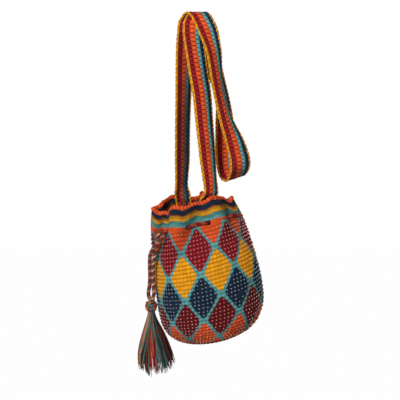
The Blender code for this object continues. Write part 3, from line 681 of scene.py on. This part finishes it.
def paint_walls(rows, depths, course_of, angle):
    """Colours of the outer and the inner wall, and place and look of each stitch for a bead."""
    middle_angle = angle + math.pi / COLUMNS
    outer, inner = np.zeros((2, len(depths) - 1, COLUMNS, 3))
    beads = []
    for index, (start, stop, colour, count) in enumerate(rows):
        middle = 0.5 * (start + stop)
        stitch = (middle_angle - lattice_turn(middle)) * count / TURN
        stitch = np.floor(stitch + 0.5).astype(int) % count
        tones = rng.uniform(0.86, 1.12, count)
        speckle = rng.integers(0, len(INSIDE_COLOURS), count)
        here = np.nonzero(course_of[:-1] == index)[0]
        both_ends = depths[here] + depths[here + 1]
        if colour is None:
            looks = [lattice_colours(middle_angle, 0.3 * middle + 0.35 * ends) for ends in both_ends]
            centres = lattice_turn(middle) + np.arange(count) * TURN / count
            centres = (centres + math.pi) % TURN - math.pi
            if middle < BEADS_END:
                for centre, row, edge in zip(centres, *diamonds(centres, middle)):
                    if edge < 0.93 and int(row) in BEADS:
                        beads.append((centre, middle, BEADS[int(row)]))
        else:
            looks = [neck_colours(middle_angle, 0.5 * ends) for ends in both_ends]
        outer[here] = np.stack(looks) * tones[stitch][:, None]
        speckled = np.array([COLOURS[INSIDE_COLOURS[place]] for place in speckle])[stitch]
        own = 0.85 if start < 0.015 else 0.40
        # Painted shade: the inner wall is painted at 0.80 of its yarn's colour and the inside of the
        # base at half of brown, darker inside the bag.
        inner[here] = 0.80 * (own * outer[here] + (1.0 - own) * speckled)
    outer[here[-1]:] = COLOURS["wine"]
    inner[here[-1]:] = COLOURS["brown"] * 0.5
    return outer, inner, beads


def make_bag():
    """Both walls of the bag as one skin: up the outer wall, over the rim and down the inner wall."""
    rows = courses()
    depths, course_of, within = course_rings(rows)
    neck = int(np.searchsorted(depths, NECK_DEPTH + 1e-6))
    angle = -math.pi + np.arange(COLUMNS) * TURN / COLUMNS
    stitches = np.array([rows[index][3] for index in course_of])
    lump = wall_relief(angle, depths, within, stitches)
    raised = np.where((depths < NECK_DEPTH)[:, None], NECK_RELIEF, STITCH_RELIEF)
    outer = bag_point(angle, depths[:, None], raised * (lump - 0.45))
    # Painted shade: the colour is darker between the yarn's lumps, in the folds' valleys and towards
    # the base's edge.
    shades = (0.42 + 0.65 * np.clip(lump, 0.0, 1.0) ** 0.8) * painted_wall_shade(angle, depths[:, None])
    outer_colours, inner_colours, beads = paint_walls(rows, depths, course_of, angle)

    last = len(depths) - 1
    coarse = np.unique(np.concatenate((np.arange(neck), np.arange(neck, last, INNER_STEP), (last,))))
    bulge = np.sin(math.pi * within[coarse])[:, None]
    inner = bag_point(angle, depths[coarse][:, None], -BAG_WALL + INNER_RELIEF * bulge)
    rings = np.concatenate((outer[::-1], inner))
    ring_shades = np.concatenate((shades[::-1], (0.75 + 0.25 * bulge) * np.ones(COLUMNS)))
    rim_colours = np.broadcast_to(COLOURS["orange"], (1, COLUMNS, 3))
    faces = np.concatenate((outer_colours[::-1], rim_colours, inner_colours[coarse[:-1]]))
    run_u = (np.concatenate((angle, (math.pi,))) - LATTICE_PHASE) / TURN
    u = run_u * np.concatenate((stitches[::-1], stitches[coarse]))[:, None]
    v = np.concatenate((course_of[::-1] + within[::-1], course_of[coarse] + within[coarse]))
    part = open_eyelets(sleeve(rings, faces, ring_shades, u + 0.5, v), depths, neck, angle)
    bag = build("bag_crochet", [part], yarn_material("crochet_yarn", (2.0, 9.0), stitched=True),
                "bag")
    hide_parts("bag_body")
    return beads


def open_eyelets(part, depths, neck, angle):
    """Take the faces of both walls out at each eyelet, and join the walls round it."""
    points, quads, triangles, colours, triangle_colours, shades, runs = part
    outer_rings = len(depths)
    middle_depth = 0.5 * (depths[:neck - 1] + depths[1:neck])
    middle_angle = angle + math.pi / COLUMNS
    opened = np.zeros((neck - 1, COLUMNS), bool)
    for place, width in eyelets():
        away = np.mod(middle_angle - place + math.pi, TURN) - math.pi
        around = bag_point(np.array((place - 0.01, place + 0.01)), EYELET_DEPTH, 0.0)
        reach = np.linalg.norm(around[1] - around[0]) / 0.02
        across = np.abs(away * reach / (0.5 * width))
        down = np.abs((middle_depth - EYELET_DEPTH) / EYELET_HALF_HEIGHT)
        opened |= across ** 3 + down[:, None] ** 3 < 1.0
    gone, added = [], []
    for row, column in zip(*np.nonzero(opened)):
        outer_row = outer_rings - 2 - row
        inner_row = outer_rings + row
        gone += [outer_row * COLUMNS + column, inner_row * COLUMNS + column]
        after = (column + 1) % COLUMNS
        sides = (((row - 1, column), (row, column), (row, after)),
                 ((row + 1, column), (row + 1, after), (row + 1, column)),
                 ((row, (column - 1) % COLUMNS), (row + 1, column), (row, column)),
                 ((row, after), (row, after), (row + 1, after)))
        for neighbour, one, two in sides:
            if 0 <= neighbour[0] < neck - 1 and opened[neighbour]:
                continue
            outer = [(outer_rings - 1 - r) * COLUMNS + c for r, c in (one, two)]
            inner = [(outer_rings + r) * COLUMNS + c for r, c in (two, one)]
            added.append(outer + inner)
    keep = np.ones(len(quads), bool)
    keep[gone] = False
    quads = np.concatenate((quads[keep], np.array(added)))
    # Painted shade: the eyelets' side walls are painted orange at half brightness, darker inside the
    # holes.
    colours = np.concatenate((colours[keep], np.tile(COLOURS["orange"] * 0.5, (len(added), 1))))
    runs = np.concatenate((runs[keep], np.zeros((len(added), 4, 2))))
    return points, quads, triangles, colours, triangle_colours, shades, runs


def make_rim():
    """The thick crocheted edging round the mouth."""
    count, around = 560, 14
    angle = np.arange(count) * TURN / count
    middle = bag_point(angle, RIM_DEPTH, -RIM_INWARD)
    above = unit(bag_point(angle, 0.0, 0.0) - bag_point(angle, 0.004, 0.0))
    out = unit(bag_point(angle, RIM_DEPTH, 0.002) - bag_point(angle, RIM_DEPTH, -0.002))
    turn = np.arange(around) * TURN / around
    place = angle * RIM_LUMPS / TURN
    lump = np.abs(np.cos(math.pi * (place[:, None] + 0.12 * np.cos(turn)))) ** 0.7
    place = np.floor(place + 0.5).astype(int) % RIM_LUMPS
    swell = rng.uniform(0.45, 1.25, RIM_LUMPS)[place]
    rings = round_rings(middle, RIM_RADIUS + RIM_LUMP_HEIGHT * lump * swell[:, None], turn, above, out)
    tone = rng.uniform(0.68, 1.14, RIM_LUMPS)[place]
    tint = COLOURS["orange"] * tone[:, None, None]
    u = np.concatenate((turn, (TURN,))) * 0.0028
    v = np.arange(count + 1) * 0.0006
    # Painted shade: the edging is darker in the hollows between its lumps.
    part = sleeve(rings, tint, 0.5 + 0.55 * lump, u, v, joined=True)
    build("rim_edging", [part], yarn_material("rim_yarn", (500.0, 1900.0)), "bag")


def make_rim_loop():
    """A short loop of yarn that stands on the back of the rim."""
    middle = bag_point(math.radians(164.0), 0.0, -0.0010)
    turn = np.linspace(-0.15 * math.pi, 1.15 * math.pi, 26)
    half_width, height, lift = 0.0024, 0.0036, 0.0008
    arch = (half_width * np.cos(turn), 0.0 * turn, lift + height * np.sin(turn))
    route = middle + np.stack(arch, axis=-1)
    part = twisted(route, 0.0019, 2, YARN_LAY, "maroon orange", around=10)
    build("rim_loop", [part], yarn_material("loop_yarn", (1400.0, 160.0)), "bag")


def ball(segments, levels):
    """Rings of points on a ball of radius 1, without its two poles."""
    turn = np.arange(segments) * TURN / segments
    rise = np.linspace(0.0, math.pi, levels + 2)[1:-1]
    return np.stack((np.sin(rise)[:, None] * np.cos(turn), np.sin(rise)[:, None] * np.sin(turn),
                     np.broadcast_to(np.cos(rise)[:, None], (levels, segments))), axis=-1)


def make_beads(beads):
    shape = ball(8, 4)
    parts = []
    for angle, depth, (colour, density) in beads:
        chance, size, tone = rng.uniform(), rng.uniform(0.82, 1.00), rng.uniform(0.66, 1.04)
        jitter = rng.uniform(-1.0, 1.0, 2)
        if chance > density:
            continue
        place = (angle + 0.006 * jitter[0], depth + 0.0004 * jitter[1])
        middle = bag_point(*place, 0.0006)
        out = unit(bag_point(*place, 0.003) - bag_point(*place, 0.0))
        above, below = (bag_point(place[0], place[1] + step, 0.0) for step in (-0.001, 0.001))
        down = unit(below - above)
        side = np.cross(down, out)
        axes = np.array(BEAD_RADII)[:, None] * np.stack((down, out, side))
        rings = middle + size * shape @ axes
        u, v = np.linspace(0.0, 1.0, shape.shape[1] + 1), np.linspace(0.0, 1.0, shape.shape[0])
        part = sleeve(rings, COLOURS[colour] * tone, 1.0, u, v)
        part[0][-2:] = middle + size * np.array((1.0, -1.0))[:, None] * axes[0]
        parts.append(part)
    build("beads", parts, bead_material(), "bag")


# The strap.
def seat_frame(angle, depth):
    half_spread = math.radians(1.0)
    while True:
        left = bag_point(angle - half_spread, depth, -BAG_WALL)
        right = bag_point(angle + half_spread, depth, -BAG_WALL)
        if np.linalg.norm((right - left)[:2]) > STRAP_WIDTH:
            break
        half_spread += math.radians(0.5)
    if left[0] > right[0]:
        left, right = right, left
    width = unit(np.array((right[0] - left[0], right[1] - left[1], 0.0)))
    inward = np.array((-width[1], width[0], 0.0))
    if inward.dot(RIM_CENTRE - left) < 0.0:
        inward = -inward
    walls = bag_point(angle + half_spread * np.arange(-12, 13) / 12, depth, -BAG_WALL)
    bulge = max(0.0, ((walls - left) @ inward).max())
    return 0.5 * (left + right) + inward * (bulge + SEAT_CLEARANCE), width, inward


def seat_stations(angle):
    stations = []
    for depth in (SEWN_DEPTH, 0.5 * SEWN_DEPTH, 0.0):
        seat, width, inward = seat_frame(angle, depth)
        middle = seat + inward * 0.5 * STRAP_THICKNESS
        stations.append((*middle, math.atan2(width[1], width[0]), 0.0))
    return stations


def crown(radius, x_back, x_front):
    stations = []
    for index in range(CROWN_PARTS + 1):
        turn = math.pi * index / CROWN_PARTS
        across = x_back + (x_front - x_back) * index / CROWN_PARTS
        stations.append((across, radius * math.cos(turn), radius * math.sin(turn), 0.0, 0.0))
    return stations


def strap_stations(step):
    inner = 0.5 * PEG_DIAMETER + LAYER_GAP + 0.5 * STRAP_THICKNESS
    outer = inner + STRAP_THICKNESS + LAYER_GAP
    rows = seat_stations(BACK_SEAT_ANGLE)
    for strand, after in ((BACK_STRAND, crown(outer, *OUTER_CROWN_X)),
                          (LOOP_STRAND, crown(inner, *INNER_CROWN_X)),
                          (FRONT_STRAND, seat_stations(FRONT_SEAT_ANGLE)[::-1])):
        rows += [(x * MM, y * MM, z * MM, math.radians(turn), math.radians(tilt))
                 for x, y, z, turn, tilt in strand]
        rows += after
    return smooth_route(rows, step)


def strap_axes(stations):
    turn, tilt = stations[:, 3], stations[:, 4]
    width = np.stack((np.cos(turn) * np.cos(tilt), np.sin(turn) * np.cos(tilt), np.sin(tilt)), axis=-1)
    along = unit(np.gradient(stations[:, :3], axis=0))
    return width, unit(np.cross(along, width))


# Where each stripe starts, as a share of the width, its colour, and the darker colour that paints shade
# down the back strand.
STRIPES = (
    (0.0, "yellow", "straw"),
    (0.115, "maroon", "wine"),
    (0.33, "orange", "rust"),
    (0.58, "turquoise", "teal"),
    (0.74, "navy", "navy"),
    (0.885, "brown", "brown"),
    (0.93, "yellow", "gold"),
)
RIB_PITCH = 0.0056
EDGE_RADIUS = 0.0017
STRAP_CURL = 0.0033
GATHERED_WIDTH = 0.80
GATHERED_SHIFT = 0.0012
THREAD_RADIUS = 0.0006
ROUTE_STEP = 0.0006
CORD_LAY = 0.0100
KNOT_CORD_RADIUS = 0.0025


def strap_shape(step):
    """Middle line, width and face direction, length, curl and share of the width along the band."""
    stations = strap_stations(step)
    width, out = strap_axes(stations)
    length = np.arange(len(stations)) * np.linalg.norm(np.diff(stations[:2, :3], axis=0))
    from_end = np.minimum(length, length[-1] - length)
    toward_viewer = np.clip(-stations[:, 1] / 0.010, -0.35, 1.0)
    curl = STRAP_CURL * toward_viewer * smoothstep((-stations[:, 2] - 0.03) / 0.05)
    curl = curl * smoothstep((from_end - 0.026) / 0.03)
    gather = smoothstep((0.085 - from_end) / 0.05)
    share = 1.0 - (1.0 - GATHERED_WIDTH) * gather
    side = np.where(length < 0.5 * length[-1], -1.0, 1.0)
    middle = stations[:, :3] + width * (GATHERED_SHIFT * gather * side)[:, None]
    return middle, width, out, length, curl, share


def make_strap():
    """The woven band: floats of warp in each stripe, half a float out of step with the next stripe."""
    middle, width, out, length, curl, share = strap_shape(RIB_PITCH / 6.0)
    half_width = 0.5 * STRAP_WIDTH - EDGE_RADIUS
    places = np.linspace(-1.0, 1.0, 41)
    across = np.concatenate((places, places[::-1]))
    face = np.repeat((1.0, -1.0), len(places))
    edges = np.array([start for start, _, _ in STRIPES] + [1.0])
    position = (across * half_width + 0.5 * STRAP_WIDTH) / STRAP_WIDTH
    stripe = part_at(edges[:-1], 0.5 * (position + np.roll(position, -1)))
    lane = part_at(edges[:-1], position)
    inside = (position - edges[lane]) / (edges[lane + 1] - edges[lane])
    dome = np.sin(math.pi * np.clip(inside, 0.06, 0.94)) ** 0.6
    step = length[:, None] / RIB_PITCH + 0.5 * (lane % 2) + 0.12 * np.abs(inside - 0.5)
    rib = np.abs(np.sin(math.pi * step))
    thick = 0.0007 + 0.00075 * rib ** 0.7 * (0.45 + 0.55 * dome)
    thick = thick * np.where(np.abs(across) > 0.999, 0.35, 1.0)
    bow = curl[:, None] * (1.0 / 3.0 - across ** 2)
    sideways = share[:, None] * half_width * across
    rings = (middle[:, None, :] + sideways[..., None] * width[:, None, :]
             + (face * thick + bow)[..., None] * out[:, None, :])
    lit_colours, shaded_colours = (np.array([COLOURS[STRIPES[index][side]] for index in stripe]) for side in (1, 2))
    # Painted shade: along the back strand the stripes blend towards their darker colours, most at its
    # lower end.
    before_crown = np.arange(len(middle)) < int(np.argmax(middle[:, 2] > -0.012))
    back_strand_painted_shade = np.where(before_crown, 0.45 + 0.55 * smoothstep((-middle[:, 2] - 0.06) / 0.08), 0.0)
    back_strand_painted_shade = back_strand_painted_shade[:-1, None, None]
    floats = (step[:-1] + 0.5).astype(int)
    tones = rng.uniform(0.84, 1.12, (floats.max() + 1, len(STRIPES)))
    tint = (lit_colours * (1.0 - back_strand_painted_shade) + shaded_colours * back_strand_painted_shade) * tones[floats, stripe][..., None]
    # Painted shade: the band is darker between its ribs and on faces turned downward.
    under = smoothstep((-out[:, 2:] * face - 0.10) / 0.45)
    shades = (0.30 + 0.86 * smoothstep((rib - 0.15) / 0.55)) * (0.62 + 0.46 * dome)
    shades = shades * (1.0 - 0.6 * under)
    u = np.concatenate((across * half_width, across[:1] * half_width))
    part = sleeve(rings, tint, shades, u, length)
    fibre = (2600.0, 260.0)
    strap = build("strap_band", [part], yarn_material("strap_yarn", fibre), "bag")
    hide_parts("strap")
    for sign, side in ((-1.0, "left"), (1.0, "right")):
        route = (middle + width * (sign * share * half_width)[:, None]
                 - out * (curl * 2.0 / 3.0)[:, None])
        part = twisted(route, EDGE_RADIUS, 2, 2.0 * RIB_PITCH, "yellow straw", around=12, groove=0.45)
        build(f"strap_edge_{side}", [part], yarn_material(f"edge_{side}_yarn", fibre),
                           "bag")


def make_seams():
    """A thread in zigzag over each sewn end of the band."""
    stations = strap_stations(0.0065)
    for name, ordered in (("strap_seam_back", stations), ("strap_seam_front", stations[::-1])):
        width, out = strap_axes(ordered)
        lift = 0.5 * STRAP_THICKNESS + 0.0004 + THREAD_RADIUS
        points = []
        for index in range(13):
            across = STRAP_WIDTH * 0.7 * (index / 12 - 0.5)
            place = (1, 2, 3, 2)[index % 4]
            side = out[place] if out[place].dot(RIM_CENTRE - ordered[place, :3]) > 0.0 else -out[place]
            points.append(ordered[place, :3] + width[place] * across + side * lift)
        route = resample(np.array(points), ROUTE_STEP)
        part = twisted(route, THREAD_RADIUS, 2, 0.0024, "orange", around=8)
        seam = build(f"{name}_thread", [part], yarn_material(f"{name}_yarn", (3000.0, 600.0)),
                     "bag")
        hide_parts(name)


# The drawstring and its tassel.
def cord_offset(angle):
    outside = CORD_CLEARANCE + 0.5 * CORD_DIAMETER
    inside = -BAG_WALL - CORD_CLEARANCE - 0.5 * CORD_DIAMETER
    period = TURN / FOLD_COUNT
    turns = min(OUTER_SPANS - 1, max(0, round((angle - FOLD_PHASE) / period)))
    away = abs(angle - FOLD_PHASE - turns * period)
    swing = math.tanh((OUTER_SPAN_HALF - away) / CROSSING_SHARPNESS)
    return 0.5 * (outside + inside) + 0.5 * (outside - inside) * swing


def neck_route():
    inside = cord_offset(EXIT_B)
    end_offset = EXIT_STANDOFF - 0.5 * CORD_DIAMETER - JOINT_GAP
    last_exit = EXIT_A + TURN
    run = FOLD_PHASE - OUTER_SPAN_HALF - 2.5 * CORD_STEP
    places = [(EXIT_B, end_offset), (EXIT_B, 0.5 * inside), (EXIT_B + 0.45 * CORD_STEP, 0.9 * inside),
              (EXIT_B + 1.4 * CORD_STEP, inside)]
    while run < last_exit - 1.2 * CORD_STEP:
        if run > EXIT_B + 2.0 * CORD_STEP:
            places.append((run, cord_offset(run)))
        run += CORD_STEP
    places += [(last_exit - 0.45 * CORD_STEP, 0.9 * inside), (last_exit, 0.5 * inside),
               (last_exit, end_offset)]
    return np.array([bag_point(angle, EYELET_DEPTH, offset) for angle, offset in places])


def tail_route(angle, rows):
    start = bag_point(angle, EYELET_DEPTH, EXIT_STANDOFF)
    points = [start] + [np.array(row) * MM for row in rows]
    toward = unit(points[-1] - KNOT_CENTRE)
    points.append(KNOT_CENTRE + toward * (0.5 * KNOT_DIAMETER + JOINT_GAP))
    return start, smooth_route(points, ROUTE_STEP)


def make_drawstring():
    cord_yarn = yarn_material("cord_yarn", (1400.0, 160.0))
    route = smooth_route(neck_route(), 0.0008)
    part = twisted(route, 0.5 * CORD_DIAMETER, 4, 0.0125, "rust maroon wine rust")
    neck = build("drawstring_neck_cord", [part], cord_yarn, "bag")
    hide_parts("drawstring_neck")
    tails = []
    for name, angle, rows, colours in (
            ("drawstring_tail_a", EXIT_A, TAIL_A_ROUTE, "rust green maroon cream"),
            ("drawstring_tail_b", EXIT_B, TAIL_B_ROUTE, "maroon brown salmon green")):
        start, route = tail_route(angle, rows)
        part = twisted(route, 0.5 * TAIL_DIAMETER, 4, CORD_LAY, colours, groove=0.24, ends=(0.8, 0.95))
        tail = build(f"{name}_cord", [part], cord_yarn, "tassel_drop")
        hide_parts(name)
        tails.append((tail, start, route))
    return tails


def make_knot():
    """A round knot: two cords wound over a core, over and under each other."""
    radius = 0.5 * KNOT_DIAMETER
    turn = np.linspace(0.0, TURN, 520)
    parts = []
    for start, colours, spin in ((0.30, "navy sea teal grey", 0.0),
                                 (1.90, "rust maroon straw rust", 1.1)):
        longitude = 2.0 * turn + start
        latitude = 0.90 * np.sin(3.0 * turn + spin)
        reach = radius - 0.0023 + 0.0007 * np.sin(6.0 * turn + 2.0 * spin)
        route = KNOT_CENTRE + reach[:, None] * np.stack(
            (np.cos(latitude) * np.cos(longitude), np.cos(latitude) * np.sin(longitude),
             np.sin(latitude)), axis=-1)
        parts.append(twisted(route, KNOT_CORD_RADIUS, 4, CORD_LAY, colours, around=14))
    core = KNOT_CENTRE + (radius - 0.0024) * ball(20, 11)
    u, v = np.linspace(0.0, 0.04, 21), np.linspace(0.0, 0.02, 11)
    parts.append(sleeve(core, COLOURS["maroon"] * 0.7, 1.0, u, v))
    knot = build("tassel_knot_wraps", parts, yarn_material("knot_yarn", (1800.0, 220.0)),
                 "tassel_drop")
    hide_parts("tassel_knot")
    return knot


def skirt_radius(share):
    """The strands' cone, drawn in under the knot."""
    spread = np.sin(0.5 * math.pi * share) ** SKIRT_FLARE
    radius = SKIRT_TOP_RADIUS + (SKIRT_BOTTOM_RADIUS - SKIRT_TOP_RADIUS) * spread
    return radius - SKIRT_DRAWN_IN * (1.0 - smoothstep(share / 0.4))


# Colours of the tassel's yarn ends, by the angle from the front: from the left edge to the right.
SKIRT_COLOURS = (
    (-100, "salmon rust brown brown orange rust"),
    (-80, "salmon rust brown salmon rust brown"),
    (-58, "salmon brown rust teal salmon grey"),
    (-40, "navy teal sage navy teal brown"),
    (-28, "maroon teal rust sage brown wine"),
    (-15, "orange rust orange brown orange sage"),
    (2, "maroon wine maroon salmon maroon grey"),
    (18, "sage grey brown teal sage rust"),
    (36, "teal brown wine navy brown green"),
    (56, "brown wine brown green brown rust"),
    (80, "brown brown rust brown wine brown"),
    (110, "rust brown brown wine navy salmon"),
    (145, "green maroon navy brown rust sea"),
    (185, "sage teal orange maroon brown salmon"),
    (230, "rust brown navy maroon salmon green"),
)
# Tufts that lie over the others in front: angle at the top and at the end, colours.
TOP_TUFTS = (
    (-18, -46, "navy teal sage mint navy teal"),
    (-34, -68, "sage salmon mint grey salmon straw"),
    (-2, 18, "mint sage sage mint grey sea"),
    (8, 30, "sage grey teal sage sea green"),
    (22, 44, "grey green brown teal sage brown"),
)
TUFTS = 44
GOLDEN_ANGLE = 137.508
STRANDS_PER_TUFT = 7
STRAND_RADII = (0.00055, 0.00085)


def strand_route(top, level, angle, inner, wave):
    """A strand's points under top: how far down, at which angle, how far in and with which waves."""
    spread = 1.0 + 0.20 * np.clip(np.sin(angle), 0.0, 1.0) * level ** 2
    radius = (skirt_radius(np.clip(level, 0.0, 1.0)) - 0.0008) * inner * spread + wave
    return top + np.stack((radius * np.sin(angle) + SKIRT_LEAN[0] * level,
                           -radius * np.cos(angle) + SKIRT_LEAN[1] * level,
                           -SKIRT_LENGTH * level * (1.0 - 0.05 * inner ** 2 * level)), axis=-1)


def make_skirt():
    """Tufts of yarn ends: the strands of a tuft lie loose above and close up towards their ends."""
    top = KNOT_CENTRE - np.array((0.0, 0.0, 0.5 * KNOT_DIAMETER + JOINT_GAP - 0.0012))
    share = np.linspace(0.0, 1.0, 15)
    palette_angles = np.array([angle for angle, _ in SKIRT_COLOURS])
    parts = []
    for tuft in range(TUFTS + len(TOP_TUFTS)):
        over = TOP_TUFTS[tuft - TUFTS] if tuft >= TUFTS else None
        outer = tuft % 4 != 3 or over
        tuft_angle = math.radians((tuft * GOLDEN_ANGLE) % 360.0 - 180.0)
        tuft_inner = rng.uniform(0.88, 1.0) if outer else rng.uniform(0.15, 0.72)
        tuft_reach = rng.uniform(0.93, 1.05) - 0.09 * max(0.0, math.sin(tuft_angle)) ** 2
        tuft_reach += 0.05 * math.exp(-((tuft_angle + 0.75) / 0.5) ** 2)
        drift, waves, spin = rng.normal(0.0, 0.08), rng.uniform(0.7, 1.6), rng.uniform(0.0, 6.28)
        wobble = rng.uniform(0.0004, 0.0015)
        if over:
            tuft_angle, drift, tuft_inner = math.radians(over[1]), 0.0, 1.02
        for _ in range(STRANDS_PER_TUFT):
            offset = np.clip(rng.normal(0.0, 1.0, 2), -1.8, 1.8)
            level = share * tuft_reach * (1.0 + rng.normal(0.0, 0.022))
            size = rng.uniform(*STRAND_RADII)
            own = rng.uniform(0.0, 6.28)
            close = 1.0 - 0.62 * smoothstep(level)
            inner = np.clip(tuft_inner + 0.10 * offset[0] * close, 0.0, 1.05 if over else 1.03)
            around = tuft_angle + 0.20 * offset[1] * close + drift * level
            if over:
                above = 1.0 - np.clip(level, 0.0, 1.0) ** 0.8
                around = around - math.radians(over[1] - over[0]) * above
            wave = level * (wobble * np.sin(waves * TURN * level + spin)
                            + 0.0004 * np.sin(3.1 * math.pi * level + own))
            route = strand_route(top, level, around, inner, wave)
            degrees = math.degrees(tuft_angle + 0.22 * offset[1])
            degrees = degrees + 360.0 if degrees < -105.0 else degrees
            nearest = int(np.argmin(np.abs(palette_angles - degrees)))
            palette = over[2] if over else SKIRT_COLOURS[nearest][1]
            colour = palette.split()[rng.integers(0, 6)]
            parts.append(twisted(route, size, 2, YARN_LAY, colour, around=6, groove=0.2,
                                 ends=(1.0, 0.35), phase=own, tone=rng.uniform(0.62, 1.0)))
    skirt = build("tassel_strands", parts, yarn_material("tassel_yarn", (2400.0, 200.0)),
                  "tassel_drop")
    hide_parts("tassel_skirt")
    return skirt


bpy.context.scene.view_settings.view_transform = "Standard"
add_camera()
add_world()
add_lamp("key", (-0.80, -1.74, 0.50), 36.0, 0.8)
add_lamp("fill", (1.6, -1.0, -0.1), 1.4, 1.2)
add_lamp("back", (-0.3, 1.9, 0.5), 16.0, 1.2)
add_floor()
tail_pieces = make_drawstring()
knot_piece = make_knot()
skirt_piece = make_skirt()
make_beads(make_bag())
make_rim()
make_rim_loop()
make_strap()
make_seams()
